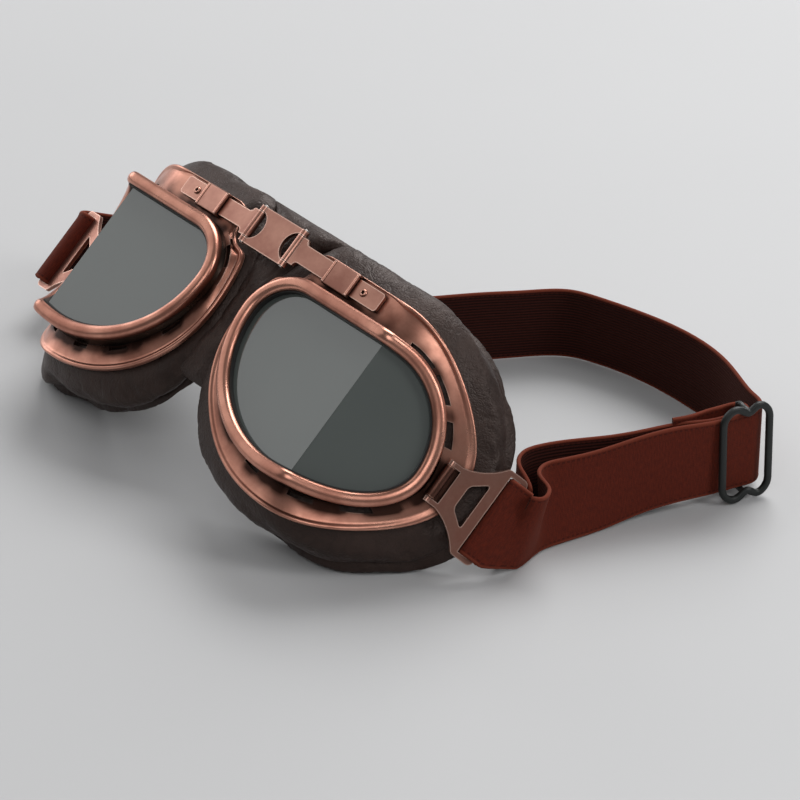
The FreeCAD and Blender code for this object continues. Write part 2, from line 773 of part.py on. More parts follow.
def bracket_shape():
    neck, arm = size["bracket_neck"], size["bracket_arm_half_height"]
    far, wide = size["bracket_length"], size["bracket_half_height"]
    arm_back = -size["bracket_arm_back"]
    edges = []
    for sign in (1, -1):
        waist = bracket_point(size["bracket_waist_run"], sign * size["bracket_waist_half_height"])
        wing = bracket_point(size["bracket_shoulder_run"], sign * wide)
        edges.append(Part.Arc(bracket_point(neck, sign * arm), waist, wing).toShape())
        edges.append(Part.makeLine(wing, bracket_point(far, sign * wide)))
        edges.append(Part.makeLine(bracket_point(arm_back, sign * arm), bracket_point(neck, sign * arm)))
    edges.append(Part.makeLine(bracket_point(far, wide), bracket_point(far, -wide)))
    edges.append(Part.makeLine(bracket_point(arm_back, arm), bracket_point(arm_back, -arm)))
    plate = Part.Face(Part.Wire(Part.__sortEdges__(edges))).extrude(axis_y * size["bracket_thickness"])
    corners = []
    for edge in plate.Edges:
        box = edge.BoundBox
        if box.XLength + box.ZLength < size["seat_clearance"] and box.XMax > size["bracket_waist_run"]:
            corners.append(edge)
    plate = plate.makeFillet(size["bracket_corner_radius"], corners)
    through = axis_y * (3 * size["bracket_thickness"])
    start = vector(0, -size["bracket_thickness"], 0)
    near, distant = size["bracket_window_near"], size["bracket_window_far"]
    window = polygon_face(
        [
            bracket_point(size["bracket_window_start"], near),
            bracket_point(size["bracket_window_end"], distant),
            bracket_point(size["bracket_window_end"], -distant),
            bracket_point(size["bracket_window_start"], -near),
        ]
    ).extrude(through)
    slot_half = size["strap_width"] / 2 + size["bracket_slot_margin"]
    slot_width = size["bracket_slot_end"] - size["bracket_slot_start"]
    slot = Part.makeBox(slot_width, 3 * size["bracket_thickness"], 2 * slot_half)
    slot.translate(vector(size["bracket_slot_start"], -size["bracket_thickness"], -slot_half))
    lug_half = size["lug_length"] / 2 + size["bracket_arm_gap"]
    recess_long = size["bracket_neck"] + size["bracket_length"]
    recess = Part.makeBox(recess_long, 3 * size["bracket_thickness"], 2 * lug_half)
    recess.translate(vector(-size["bracket_length"], -size["bracket_thickness"], -lug_half))
    for tool in (window, slot):
        tool.translate(start)
    plate = plate.cut([window, slot, recess])
    bar_half = size["bracket_arm_half_height"] - size["bracket_arm_gap"]
    bar = Part.makeCylinder(size["bracket_bar_radius"], 2 * bar_half, vector(0, 0, -bar_half), axis_z)
    return plate.fuse(bar).removeSplitter()


right_turn = math.radians(size["right_bracket_deg"])
left_turn = math.radians(size["left_bracket_deg"])
right_bracket_local = FreeCAD.Placement(hinge_point, FreeCAD.Rotation(axis_z, size["right_bracket_deg"]))
left_bracket_local = FreeCAD.Placement(left_hinge, FreeCAD.Rotation(axis_z, 180 - size["left_bracket_deg"]))
right_bracket_body = solid_feature("right_bracket_body", bracket_shape())
left_bracket_body = solid_feature("left_bracket_body", bracket_shape())
node("right_bracket", right_bracket_body, mask.multiply(right_bracket_local))
node("left_bracket", left_bracket_body, mask.multiply(left_bracket_local))


# Leather cushion: crowned sides, a drawn-in seam channel and a rim that is flattened by the table
def table_y(z):
    reach = size["bridge_height"] - size["rim_clearance"] + z * math.cos(tilt)
    return reach / math.sin(tilt)


def rim_y(x, z):
    share = x / size["rim_temple_x"]
    free = size["rim_nose_depth"] + size["rim_slope_share"] * x + size["rim_temple_gain"] * share**2
    return min(free, table_y(z))


def rim_rule(offset):
    def rule(piece, share):
        x, z = offset_point(rim_outline, piece, share, offset)
        return vector(x, rim_y(x, z), z)

    return rule


cushion_lift = size["flange_thickness"] + size["cushion_gap"]


def skin_rule(rim_share, bulge_share):
    start_rule = flange_rule(flange_outline, -size["cushion_inset"], cushion_lift)
    end_rule = rim_rule(0.0)

    def rule(piece, share):
        start, end = start_rule(piece, share), end_rule(piece, share)
        x, z, normal_x, normal_z = outline_point(flange_outline, piece, share)
        upright = size["cushion_top_bulge"] if normal_z > 0 else size["cushion_bottom_bulge"]
        sideways = size["cushion_temple_bulge"] if normal_x > 0 else size["cushion_nose_bulge"]
        swell = upright * normal_z**2 + sideways * normal_x**2
        point = start + (end - start) * rim_share
        lean = flange_angle(x)
        outward = vector(normal_x * math.cos(lean), normal_x * math.sin(lean), normal_z)
        return point + outward * (swell * bulge_share)

    return rule


def lining_rule(depth_share):
    start_rule = flange_rule(base_outline, size["cushion_opening"], cushion_lift)
    end_rule = rim_rule(-size["rim_width"])

    def rule(piece, share):
        start, end = start_rule(piece, share), end_rule(piece, share)
        return start + (end - start) * depth_share

    return rule


skin_shares = ((0.0, 0.0), (0.1, 0.6), (0.3, 1.0), (0.55, 0.95), (0.68, 0.4), (0.82, 0.7), (1.0, 0.0))
cushion_rules = [skin_rule(rim_share, bulge_share) for rim_share, bulge_share in skin_shares]
cushion_rules = cushion_rules + [lining_rule(1.0), lining_rule(0.5), lining_rule(0.0)]
cushion_rules.append(between_rule(size["cushion_opening"], -size["cushion_inset"], 0.5, cushion_lift))
right_cushion = node("right_cushion", solid_feature("cushion_body", ring_solid(cushion_rules)), mask)


# Nose panel: the leather between the two cushions
def panel_half_width(level):
    o = flange_outline
    if level > o["nose_level"]:
        height_share = (level - o["nose_level"]) / (o["top_level"] - o["nose_level"])
        gap = size["nose_panel_gap"]
        gap = gap + (size["nose_panel_top_gap"] - gap) * min(height_share, 1.0) ** 2
        reach_x, reach_z = o["top_nose_x"] - o["nose_x"] + gap, o["top_level"] - o["nose_level"] + gap
        centre_x, rise = o["top_nose_x"], level - o["nose_level"]
    else:
        depth_share = (o["nose_level"] - level) / (o["nose_level"] - o["bottom_level"])
        gap = size["nose_panel_gap"]
        gap = gap + (size["nose_panel_bottom_gap"] - gap) * depth_share**2
        reach_x, reach_z = o["bottom_x"] - o["nose_x"] + gap, o["nose_level"] - o["bottom_level"] + gap
        centre_x, rise = o["bottom_x"], o["nose_level"] - level
    return centre_x - reach_x * math.sqrt(max(reach_z**2 - rise**2, 0.0)) / reach_z


panel_shares = ((0.0, 1.0), (0.09, 0.3), (0.22, 0.0), (0.4, 0.0))
panel_shares = panel_shares + ((0.6, 0.0), (0.78, 0.2), (0.92, 0.6), (1.0, 1.0))
panel_wires = []
for level_share, hem_share in panel_shares:
    level = size["nose_panel_top"] + (size["nose_panel_bottom"] - size["nose_panel_top"]) * level_share
    half = panel_half_width(level)
    front = size["nose_panel_front"] + size["nose_panel_hem"] * hem_share / 2
    back = size["nose_panel_back"] - size["nose_panel_hem"] * hem_share / 2
    crown = size["nose_panel_crown"]
    corners = [
        vector(-half, front + crown, level),
        vector(-half / 2, front, level),
        vector(half / 2, front, level),
        vector(half, front + crown, level),
        vector(half, back - crown, level),
        vector(half / 2, back, level),
        vector(-half / 2, back, level),
        vector(-half, back - crown, level),
    ]
    panel_wires.append(Part.makePolygon(corners + corners[:1]))
node("nose_leather", solid_feature("nose_panel", Part.makeLoft(panel_wires, True, True)), mask)


# Strap: a flat band between a low edge and a high edge
bar_direction = mask.Rotation.multVec(axis_z)


def ribbon(stations):
    lows = [low for low, high in stations]
    highs = [high for low, high in stations]
    marks = chord_shares([(low + high) * 0.5 for low, high in stations])
    low_curve, high_curve = spline(lows, marks), spline(highs, marks)
    count = 6 * (len(stations) - 1)
    shares = [step / count for step in range(count + 1)]
    corners = [[], [], [], []]
    for share in shares:
        low, high = low_curve.value(share), high_curve.value(share)
        heading = low_curve.getD1(share)[1] + high_curve.getD1(share)[1]
        lift = heading.cross(high - low).normalize() * (size["strap_thickness"] / 2)
        for corner, point in zip(corners, (high + lift, high - lift, low - lift, low + lift)):
            corner.append(point)
    edges = [spline(corner, shares) for corner in corners]
    faces = [ruled_face(near, far) for near, far in zip(edges, edges[1:] + edges[:1])]
    faces.append(polygon_face([corner[0] for corner in corners]))
    faces.append(polygon_face([corner[-1] for corner in corners]))
    return closed_solid(faces)


def band_station(centre, across):
    reach = across * (size["strap_width"] / 2)
    return centre - reach, centre + reach


def bracket_place(local, run_length, side):
    centre = mask.multiply(local).multVec(vector(run_length, side, 0))
    return band_station(centre, bar_direction)


def loop_stations(local, front):
    centre, radius = size["strap_loop_centre"], size["strap_loop_radius"]
    end = size["strap_loop_end"] - size["strap_joint_gap"]
    made = [bracket_place(local, reach, front * radius) for reach in (end, (end + centre) / 2)]
    for step in range(9):
        angle = math.pi * step / 8
        made.append(bracket_place(local, centre - radius * math.sin(angle), front * radius * math.cos(angle)))
    made.append(bracket_place(local, (end + centre) / 2, -front * radius))
    made.append(bracket_place(local, end, -front * radius))
    return made


loop_end = size["strap_loop_end"]
right_loop = ribbon(loop_stations(right_bracket_local, -1))
left_loop = ribbon(loop_stations(left_bracket_local, 1))
node("right_strap_loop", solid_feature("right_loop_band", right_loop), None)
node("left_strap_loop", solid_feature("left_loop_band", left_loop), None)

# Tri-glide frame on the strap: outward is away from the wearer, forward is towards the back of the head
tri_turn = math.radians(size["tri_turn_deg"])
tri_forward = vector(math.sin(tri_turn), math.cos(tri_turn), 0)
tri_outward = vector(math.cos(tri_turn), -math.sin(tri_turn), 0)
window_height = size["strap_width"] + 2 * size["tri_window_gap"]
plate_height = window_height + 2 * size["tri_end_bar"]
tri_depth = size["tri_y"] - size["bridge_forward"]
tri_centre = vector(size["tri_x"], tri_depth, plate_height / 2 + size["table_clearance"])


def tri_place(forward, outward):
    return band_station(tri_centre + tri_forward * forward + tri_outward * outward, axis_z)


def strap_station(shares):
    width, forward = size["strap_width"], vector(0, -size["bridge_forward"], 0)
    low = vector(size["tri_x"] * shares[0], size["tri_y"] * shares[1], width * shares[2])
    high = vector(size["tri_x"] * shares[3], size["tri_y"] * shares[4], width * shares[5])
    return low + forward, high + forward


# A run whose end is drawn onto a bracket, with less and less pull on the stations further along
def drawn_run(rows, end_place, pulled_count):
    stations = [strap_station(shares) for shares in rows]
    low_pull, high_pull = end_place[0] - stations[-1][0], end_place[1] - stations[-1][1]
    drawn = []
    for steps_away, (low, high) in enumerate(reversed(stations)):
        weight = max(pulled_count - steps_away, 0) / pulled_count
        drawn.append((low + low_pull * weight, high + high_pull * weight))
    return drawn[::-1]


# Strap runs: low edge and high edge, as shares of the tri-glide's place and of the strap width
back_run_shares = [
    (-0.982, -0.154, 0.498, -0.982, 0.060, 1.161),
    (-1.010, -0.125, 0.438, -1.009, 0.060, 1.167),
    (-1.040, -0.048, 0.271, -1.036, 0.083, 1.133),
    (-1.040, 0.042, 0.125, -1.033, 0.125, 1.075),
    (-1.011, 0.131, 0.042, -1.003, 0.179, 1.029),
    (-0.969, 0.220, 0.012, -0.963, 0.243, 1.004),
    (-0.907, 0.298, 0.008, -0.904, 0.307, 1.004),
    (-0.817, 0.363, 0.008, -0.817, 0.367, 1.004),
    (-0.684, 0.417, 0.008, -0.684, 0.417, 1.004),
    (-0.494, 0.458, 0.008, -0.494, 0.458, 1.004),
    (-0.323, 0.482, 0.008, -0.323, 0.482, 1.004),
    (-0.190, 0.524, 0.008, -0.190, 0.524, 1.004),
    (-0.095, 0.619, 0.008, -0.095, 0.619, 1.004),
    (-0.032, 0.756, 0.008, -0.028, 0.755, 1.004),
    (0.030, 0.912, 0.008, 0.041, 0.905, 1.004),
    (0.075, 1.011, 0.008, 0.090, 1.000, 1.004),
    (0.113, 1.088, 0.008, 0.126, 1.075, 1.004),
    (0.163, 1.152, 0.008, 0.171, 1.138, 1.004),
    (0.235, 1.193, 0.008, 0.239, 1.176, 1.004),
    (0.359, 1.233, 0.008, 0.361, 1.219, 1.004),
    (0.508, 1.249, 0.008, 0.507, 1.254, 1.004),
    (0.612, 1.246, 0.008, 0.612, 1.257, 1.004),
    (0.726, 1.224, 0.025, 0.726, 1.230, 1.021),
    (0.840, 1.179, 0.054, 0.843, 1.181, 1.054),
    (0.935, 1.138, 0.092, 0.938, 1.138, 1.092),
]
outer_run_shares = [
    (0.964, 0.773, 0.071, 0.949, 0.776, 1.062),
    (0.931, 0.631, 0.029, 0.907, 0.636, 1.021),
    (0.908, 0.480, 0.012, 0.863, 0.487, 0.987),
    (0.895, 0.357, 0.012, 0.830, 0.371, 0.967),
    (0.888, 0.298, 0.012, 0.822, 0.317, 0.958),
    (0.885, 0.256, 0.012, 0.846, 0.274, 0.958),
    (0.889, 0.220, 0.012, 0.883, 0.257, 0.958),
    (0.896, 0.186, 0.012, 0.920, 0.240, 0.958),
    (0.904, 0.149, 0.012, 0.942, 0.210, 0.958),
    (0.912, 0.110, 0.021, 0.944, 0.179, 0.958),
    (0.910, 0.074, 0.067, 0.924, 0.161, 0.958),
    (0.899, -0.023, 0.212, 0.899, 0.191, 0.874),
]
inner_run_shares = [
    (0.929, 0.813, 0.071, 0.919, 0.814, 1.067),
    (0.894, 0.717, 0.046, 0.884, 0.718, 1.042),
    (0.855, 0.593, 0.021, 0.840, 0.595, 1.017),
    (0.811, 0.480, 0.012, 0.790, 0.483, 1.004),
    (0.782, 0.381, 0.012, 0.758, 0.386, 1.004),
    (0.774, 0.317, 0.012, 0.750, 0.324, 1.004),
    (0.784, 0.260, 0.012, 0.762, 0.281, 1.000),
    (0.809, 0.205, 0.012, 0.785, 0.252, 0.992),
    (0.838, 0.150, 0.017, 0.819, 0.236, 0.971),
    (0.862, 0.090, 0.042, 0.853, 0.225, 0.925),
    (0.877, 0.031, 0.117, 0.876, 0.213, 0.858),
    (0.875, -0.010, 0.162, 0.875, 0.204, 0.825),
]
strap_offset = size["tri_strap_offset"]
lead = size["tri_lead"]
lead_out = loop_end + size["strap_lead_out"]
pulled_count = 9
loop_side = size["strap_loop_radius"]
left_end = bracket_place(left_bracket_local, lead_out, -loop_side)
main_stations = [bracket_place(left_bracket_local, loop_end, -loop_side)]
main_stations.extend(drawn_run(back_run_shares[::-1], left_end, pulled_count)[::-1])
for forward_share in (0.9, 0.45, 0.0, -0.5, -1.0):
    main_stations.append(tri_place(lead * forward_share, strap_offset))
outer_end = bracket_place(right_bracket_local, lead_out, -loop_side)
main_stations.extend(drawn_run(outer_run_shares, outer_end, pulled_count))
main_stations.append(bracket_place(right_bracket_local, loop_end, -loop_side))
node("strap_main", solid_feature("strap_main_band", ribbon(main_stations)), None)

wrap_radius = size["tri_wrap_radius"]
wrap_centre = -strap_offset - wrap_radius
return_stations = [tri_place(-size["tri_tail"], wrap_centre - wrap_radius)]
return_stations.append(tri_place(-size["tri_tail"] / 2, wrap_centre - wrap_radius))
for step in range(9):
    angle = math.pi * step / 8
    outward = wrap_centre - wrap_radius * math.cos(angle)
    return_stations.append(tri_place(wrap_radius * math.sin(angle), outward))
return_stations.append(tri_place(-lead / 2, -strap_offset))
return_stations.append(tri_place(-lead, -strap_offset))
inner_end = bracket_place(right_bracket_local, lead_out, loop_side)
return_stations.extend(drawn_run(inner_run_shares, inner_end, pulled_count))
return_stations.append(bracket_place(right_bracket_local, loop_end, loop_side))
node("strap_return", solid_feature("strap_return_band", ribbon(return_stations)), None)

# Tri-glide: a wavy plate with two windows, its rails outside the strap and its centre bar inside
wave_count = 24
wave_faces = ([], [])
for step in range(wave_count + 1):
    forward = size["tri_half_length"] * (2 * step / wave_count - 1)
    phase = 2 * math.pi * forward / size["tri_wave_length"]
    outward = -size["tri_amplitude"] * math.cos(phase)
    rise = 2 * math.pi * size["tri_amplitude"] / size["tri_wave_length"] * math.sin(phase)
    slope = math.hypot(1.0, rise)
    for face, sign in zip(wave_faces, (1, -1)):
        shift = sign * size["tri_thickness"] / 2 / slope
        face.append(vector(forward - rise * shift, outward + shift, 0))
wave_shares = [step / wave_count for step in range(wave_count + 1)]
wave_edges = [spline(face, wave_shares).toShape() for face in wave_faces]
wave_edges.append(Part.makeLine(wave_faces[0][0], wave_faces[1][0]))
wave_edges.append(Part.makeLine(wave_faces[0][-1], wave_faces[1][-1]))
wave_plate = Part.Face(Part.Wire(Part.__sortEdges__(wave_edges))).extrude(axis_z * plate_height)
wave_plate.translate(vector(0, 0, -plate_height / 2))
window_deep = 4 * size["tri_amplitude"]
window_long = size["tri_rail_start"] - size["tri_bar_half_width"]
window_tools = []
for window_start in (size["tri_bar_half_width"], -size["tri_rail_start"]):
    window_tool = Part.makeBox(window_long, window_deep, window_height)
    window_tool.translate(vector(window_start, -window_deep / 2, -window_height / 2))
    window_tools.append(window_tool)
tri_shape = wave_plate.cut(window_tools).Solids[0]
tri_rotation = FreeCAD.Rotation(tri_forward, tri_outward, axis_z, "XYZ")
node("tri_glide", solid_feature("tri_glide_body", tri_shape), FreeCAD.Placement(tri_centre, tri_rotation))

# Left eyecup and slider, mirrored across the middle of the mask
paired = {
    "slider": right_slider,
    "stop_rivet": right_rivet,
    "keeper": right_keeper,
    "bezel": right_bezel,
    "gasket": right_gasket,
    "front_lens": right_front_lens,
    "side_lens": right_side_lens,
    "housing": right_housing,
    "flange": right_flange,
    "cushion": right_cushion,
}
doc.recompute()
for piece_name, source in paired.items():
    node("left_" + piece_name, mirrored("left_" + piece_name + "_copy", source), None)
doc.recompute()

# Every object must have computed cleanly before anything is written
for made in doc.Objects:
    if "Invalid" in made.State or "Error" in made.State:
        raise RuntimeError("object failed: " + made.Name)
for label, made in nodes.items():
    if made.Shape.isNull() or not made.Shape.isValid():
        raise RuntimeError("bad shape: " + label)

os.makedirs("parts", exist_ok=True)
for label, made in nodes.items():
    made.Shape.exportStep("parts/" + label + ".step")
    box = made.Shape.BoundBox
    reach = (box.XMin, box.XMax, box.YMin, box.YMax, box.ZMin, box.ZMax)
    sides = " ".join("%.1f" % edge for edge in reach)
    print(label, "volume %.1f" % made.Shape.Volume, "solids", len(made.Shape.Solids), sides)
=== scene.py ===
import bpy
import bmesh
import json
import math
import numpy as np
from mathutils import Matrix, Vector
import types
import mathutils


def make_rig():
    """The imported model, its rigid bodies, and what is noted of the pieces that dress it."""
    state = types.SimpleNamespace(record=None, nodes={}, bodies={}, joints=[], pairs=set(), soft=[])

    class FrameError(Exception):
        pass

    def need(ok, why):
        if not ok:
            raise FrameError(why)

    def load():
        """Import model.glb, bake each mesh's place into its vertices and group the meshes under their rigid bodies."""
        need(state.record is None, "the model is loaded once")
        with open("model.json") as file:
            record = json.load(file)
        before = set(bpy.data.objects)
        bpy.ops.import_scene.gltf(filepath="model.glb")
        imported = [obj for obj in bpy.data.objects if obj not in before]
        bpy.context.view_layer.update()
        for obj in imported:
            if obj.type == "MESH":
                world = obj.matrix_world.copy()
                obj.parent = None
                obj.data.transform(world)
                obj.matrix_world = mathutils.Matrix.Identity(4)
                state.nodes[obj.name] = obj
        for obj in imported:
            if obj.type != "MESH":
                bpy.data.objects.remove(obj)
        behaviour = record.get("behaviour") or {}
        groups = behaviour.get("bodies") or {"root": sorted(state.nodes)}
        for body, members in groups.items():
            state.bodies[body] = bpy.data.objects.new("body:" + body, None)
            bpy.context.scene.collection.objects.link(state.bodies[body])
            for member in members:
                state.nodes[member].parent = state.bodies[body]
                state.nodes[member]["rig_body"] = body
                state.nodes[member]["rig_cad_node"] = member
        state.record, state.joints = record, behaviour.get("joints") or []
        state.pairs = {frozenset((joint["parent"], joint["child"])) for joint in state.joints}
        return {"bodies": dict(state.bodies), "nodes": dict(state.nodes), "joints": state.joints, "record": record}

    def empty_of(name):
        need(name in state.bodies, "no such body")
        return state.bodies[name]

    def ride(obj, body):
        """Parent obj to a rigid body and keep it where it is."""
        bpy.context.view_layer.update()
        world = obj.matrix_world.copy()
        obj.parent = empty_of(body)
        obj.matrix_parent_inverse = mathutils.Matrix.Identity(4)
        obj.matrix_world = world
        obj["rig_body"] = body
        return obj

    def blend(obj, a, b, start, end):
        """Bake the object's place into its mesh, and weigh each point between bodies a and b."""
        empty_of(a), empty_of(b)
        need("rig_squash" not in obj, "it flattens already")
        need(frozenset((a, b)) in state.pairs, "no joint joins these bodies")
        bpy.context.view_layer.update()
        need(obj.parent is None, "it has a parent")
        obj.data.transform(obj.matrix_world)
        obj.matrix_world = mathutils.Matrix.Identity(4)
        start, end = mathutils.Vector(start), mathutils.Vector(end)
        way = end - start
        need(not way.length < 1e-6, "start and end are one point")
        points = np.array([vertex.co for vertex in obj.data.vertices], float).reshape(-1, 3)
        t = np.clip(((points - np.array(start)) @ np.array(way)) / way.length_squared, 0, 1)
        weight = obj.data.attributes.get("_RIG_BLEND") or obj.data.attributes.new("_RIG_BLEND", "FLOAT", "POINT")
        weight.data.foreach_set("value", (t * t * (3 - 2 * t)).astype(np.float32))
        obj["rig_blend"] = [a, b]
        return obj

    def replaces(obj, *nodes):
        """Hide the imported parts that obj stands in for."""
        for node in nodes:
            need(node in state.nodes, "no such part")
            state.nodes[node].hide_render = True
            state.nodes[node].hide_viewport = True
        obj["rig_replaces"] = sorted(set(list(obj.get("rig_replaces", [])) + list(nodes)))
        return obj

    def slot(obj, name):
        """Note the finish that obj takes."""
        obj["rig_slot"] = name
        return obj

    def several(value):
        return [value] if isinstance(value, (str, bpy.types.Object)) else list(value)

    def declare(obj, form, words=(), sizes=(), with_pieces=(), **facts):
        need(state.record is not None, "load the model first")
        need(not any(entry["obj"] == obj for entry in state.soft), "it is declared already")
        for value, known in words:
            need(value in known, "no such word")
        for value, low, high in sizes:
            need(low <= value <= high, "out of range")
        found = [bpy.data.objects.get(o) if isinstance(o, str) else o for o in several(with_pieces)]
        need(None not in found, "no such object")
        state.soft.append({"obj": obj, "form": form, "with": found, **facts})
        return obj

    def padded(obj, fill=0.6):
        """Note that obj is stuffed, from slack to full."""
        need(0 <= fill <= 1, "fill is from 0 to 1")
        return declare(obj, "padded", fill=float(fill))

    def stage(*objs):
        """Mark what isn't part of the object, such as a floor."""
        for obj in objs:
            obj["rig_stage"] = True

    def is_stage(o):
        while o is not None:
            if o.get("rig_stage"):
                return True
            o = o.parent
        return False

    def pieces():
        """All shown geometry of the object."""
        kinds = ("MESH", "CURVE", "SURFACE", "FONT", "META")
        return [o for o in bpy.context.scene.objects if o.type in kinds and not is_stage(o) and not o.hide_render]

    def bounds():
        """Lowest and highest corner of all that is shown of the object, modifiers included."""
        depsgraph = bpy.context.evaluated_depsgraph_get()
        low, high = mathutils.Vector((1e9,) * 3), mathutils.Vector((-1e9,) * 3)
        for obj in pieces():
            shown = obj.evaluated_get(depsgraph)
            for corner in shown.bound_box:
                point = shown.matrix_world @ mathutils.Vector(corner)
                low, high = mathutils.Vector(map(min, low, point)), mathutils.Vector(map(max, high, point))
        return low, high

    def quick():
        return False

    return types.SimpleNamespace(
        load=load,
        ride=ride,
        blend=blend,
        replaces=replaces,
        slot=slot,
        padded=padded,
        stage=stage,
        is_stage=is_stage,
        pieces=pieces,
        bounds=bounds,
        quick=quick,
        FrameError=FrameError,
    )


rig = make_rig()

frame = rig.load()
cadBox = [[float(v) for v in corner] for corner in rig.bounds()]
bodyOfNode = {n: b for b, names in frame["record"]["behaviour"]["bodies"].items() for n in names}
print("frame loaded:", len(frame["nodes"]), "nodes on", len(frame["bodies"]), "bodies")

# everything below is worked out in millimetres and written to meshes in metres
mm = 0.001
maskPlace = {"tilt": 48.5, "up": 66.0, "forward": 31.5}  # how the mask leans on the table


def toWorld(p):
    # lean back about x by the tilt, then lift and bring forward
    t = math.radians(maskPlace["tilt"])
    x, y, z = p[..., 0], p[..., 1], p[..., 2]
    back = y * math.cos(t) + z * math.sin(t) - maskPlace["forward"]
    high = z * math.cos(t) - y * math.sin(t) + maskPlace["up"]
    return np.stack([x, back, high], axis=-1)


def smoothStep(v, low, high):
    # three t squared minus two t cubed, from 0 at low to 1 at high
    t = np.clip((v - low) / (high - low), 0, 1)
    return t * t * (3 - 2 * t)


def flatWays(deg):
    # the direction at an angle from x in the xy plane, and the one square to it
    a = math.radians(deg)
    return np.array([math.cos(a), math.sin(a), 0]), np.array([-math.sin(a), math.cos(a), 0])


def unitRows(v):
    # each row divided by its length
    return v / np.linalg.norm(v, axis=1, keepdims=True)


def signedPower(v, power):
    # the power of the size, with the sign kept
    return np.sign(v) * np.abs(v) ** power


def ruled(a, b, share):
    # straight lines from each point of a to the same point of b
    return a[:, None] + (b - a)[:, None] * share[None, :, None]


def gridQuads(rows, cols, wrapRows=True, wrapCols=True):
    # quads between neighbours of a rows by cols grid, closed on itself where asked
    i = np.arange(rows if wrapRows else rows - 1)
    j = np.arange(cols if wrapCols else cols - 1)
    a, b = np.meshgrid(i, j, indexing="ij")
    c, d = (a + 1) % rows, (b + 1) % cols
    return np.stack([a * cols + b, c * cols + b, c * cols + d, a * cols + d], -1).reshape(-1, 4)


def endCaps(rows, cols):
    # the first and the last ring of a tube, as the two faces that close it
    return [range(cols - 1, -1, -1), range((rows - 1) * cols, rows * cols)]


def signedVolume(points, quads):
    # a sixth of the triple products of the corners, two triangles to a quad
    a, b, c, d = (points[quads[:, k]] for k in range(4))
    first = np.einsum("ij,ij->i", a, np.cross(b, c))
    return (first + np.einsum("ij,ij->i", a, np.cross(c, d))).sum() / 6


def putMesh(name, points, quads, material, caps=(), uv=None, values=None, sharp=None):
    # points in mm; faces are turned outwards by the sign of the enclosed volume
    points = points.reshape(-1, 3)
    flip = signedVolume(points - points.mean(0), quads) < 0
    faces = quads[:, ::-1] if flip else quads
    ends = [list(c)[::-1] if flip else list(c) for c in caps]
    mesh = bpy.data.meshes.new(name)
    mesh.from_pydata((points * mm).tolist(), [], faces.tolist() + ends)
    mesh.update()
    mesh.polygons.foreach_set("use_smooth", np.ones(len(mesh.polygons), bool))
    if sharp is not None:
        mesh.set_sharp_from_angle(angle=math.radians(sharp))
    if uv is not None:
        order = np.zeros(len(mesh.loops), np.int32)
        mesh.loops.foreach_get("vertex_index", order)
        layer = mesh.uv_layers.new(name="along")
        layer.data.foreach_set("uv", uv.reshape(-1, 2)[order].astype(np.float32).ravel())
    for key, array in (values or {}).items():
        layer = mesh.attributes.new(key, "FLOAT", "POINT")
        layer.data.foreach_set("value", np.asarray(array, np.float32).ravel())
    made = bpy.data.objects.new(name, mesh)
    bpy.context.scene.collection.objects.link(made)
    mesh.materials.append(material)
    return made


def mirroredPair(name, points, quads, material, **options):
    # the right piece and its mirror image across x
    for side, hand in (("right", 1.0), ("left", -1.0)):
        yield side, putMesh(side + name, points * np.array([hand, 1.0, 1.0]), quads, material, **options)


def waveNoise(p, seed, size, count=28):
    # a sum of plane waves in random directions, wave lengths spread round the given size
    rng = np.random.default_rng(seed)
    d = unitRows(rng.normal(size=(count, 3)))
    k = 2 * np.pi / (size * rng.uniform(0.6, 1.7, count))
    turn = rng.uniform(0, 2 * np.pi, count)
    return np.sin(p @ (d * k[:, None]).T + turn).sum(-1) / math.sqrt(count / 2)


def bell(v, width):
    # one at zero, falling off with the square of the distance over the width
    return np.exp(-((v / width) ** 2))


def gridNormals(p):
    # cross product of the two grid directions, rows and columns both closed
    du = np.roll(p, -1, 0) - np.roll(p, 1, 0)
    dv = np.roll(p, -1, 1) - np.roll(p, 1, 1)
    n = np.cross(du, dv)
    return n / np.maximum(np.linalg.norm(n, axis=-1, keepdims=True), 1e-9)


# shader helpers: most add one node to a tree and hand back what it puts out
def newGroup(name, inputs, outputs):
    group = bpy.data.node_groups.new(name, "ShaderNodeTree")
    for label, value in inputs.items():
        socket = group.interface.new_socket(name=label, in_out="INPUT", socket_type="NodeSocketFloat")
        socket.default_value = value
    for label in outputs:
        group.interface.new_socket(name=label, in_out="OUTPUT", socket_type="NodeSocketFloat")
    return group, group.nodes.new("NodeGroupInput"), group.nodes.new("NodeGroupOutput")


def addNode(tree, kind, values=None, **props):
    made = tree.nodes.new(kind)
    for key, value in props.items():
        setattr(made, key, value)
    for key, value in (values or {}).items():
        made.inputs[key].default_value = value
    return made


def wire(tree, target, sources):
    # each source goes into the target's socket of that name or number
    for label, source in sources.items():
        tree.links.new(source, target.inputs[label])


def mathNode(tree, operation, a, b=None, clamp=False):
    made = addNode(tree, "ShaderNodeMath", operation=operation, use_clamp=clamp)
    for k, value in enumerate((a, b)):
        if isinstance(value, (int, float)):
            made.inputs[k].default_value = value
        elif value is not None:
            tree.links.new(value, made.inputs[k])
    return made.outputs[0]


def times(tree, a, b):
    return mathNode(tree, "MULTIPLY", a, b)


def plus(tree, a, b):
    return mathNode(tree, "ADD", a, b)


def mapRange(tree, value, low, high, toLow=0.0, toHigh=1.0):
    made = addNode(tree, "ShaderNodeMapRange", {1: low, 2: high, 3: toLow, 4: toHigh}, clamp=True)
    wire(tree, made, {0: value})
    return made.outputs[0]


def mixColor(tree, factor, a, b):
    # a and b are colours or sockets, the factor is a socket
    made = addNode(tree, "ShaderNodeMix", data_type="RGBA", blend_type="MIX")
    for k, value in ((0, factor), (6, a), (7, b)):
        if isinstance(value, tuple):
            made.inputs[k].default_value = (*value, 1.0)
        else:
            tree.links.new(value, made.inputs[k])
    return made.outputs[2]


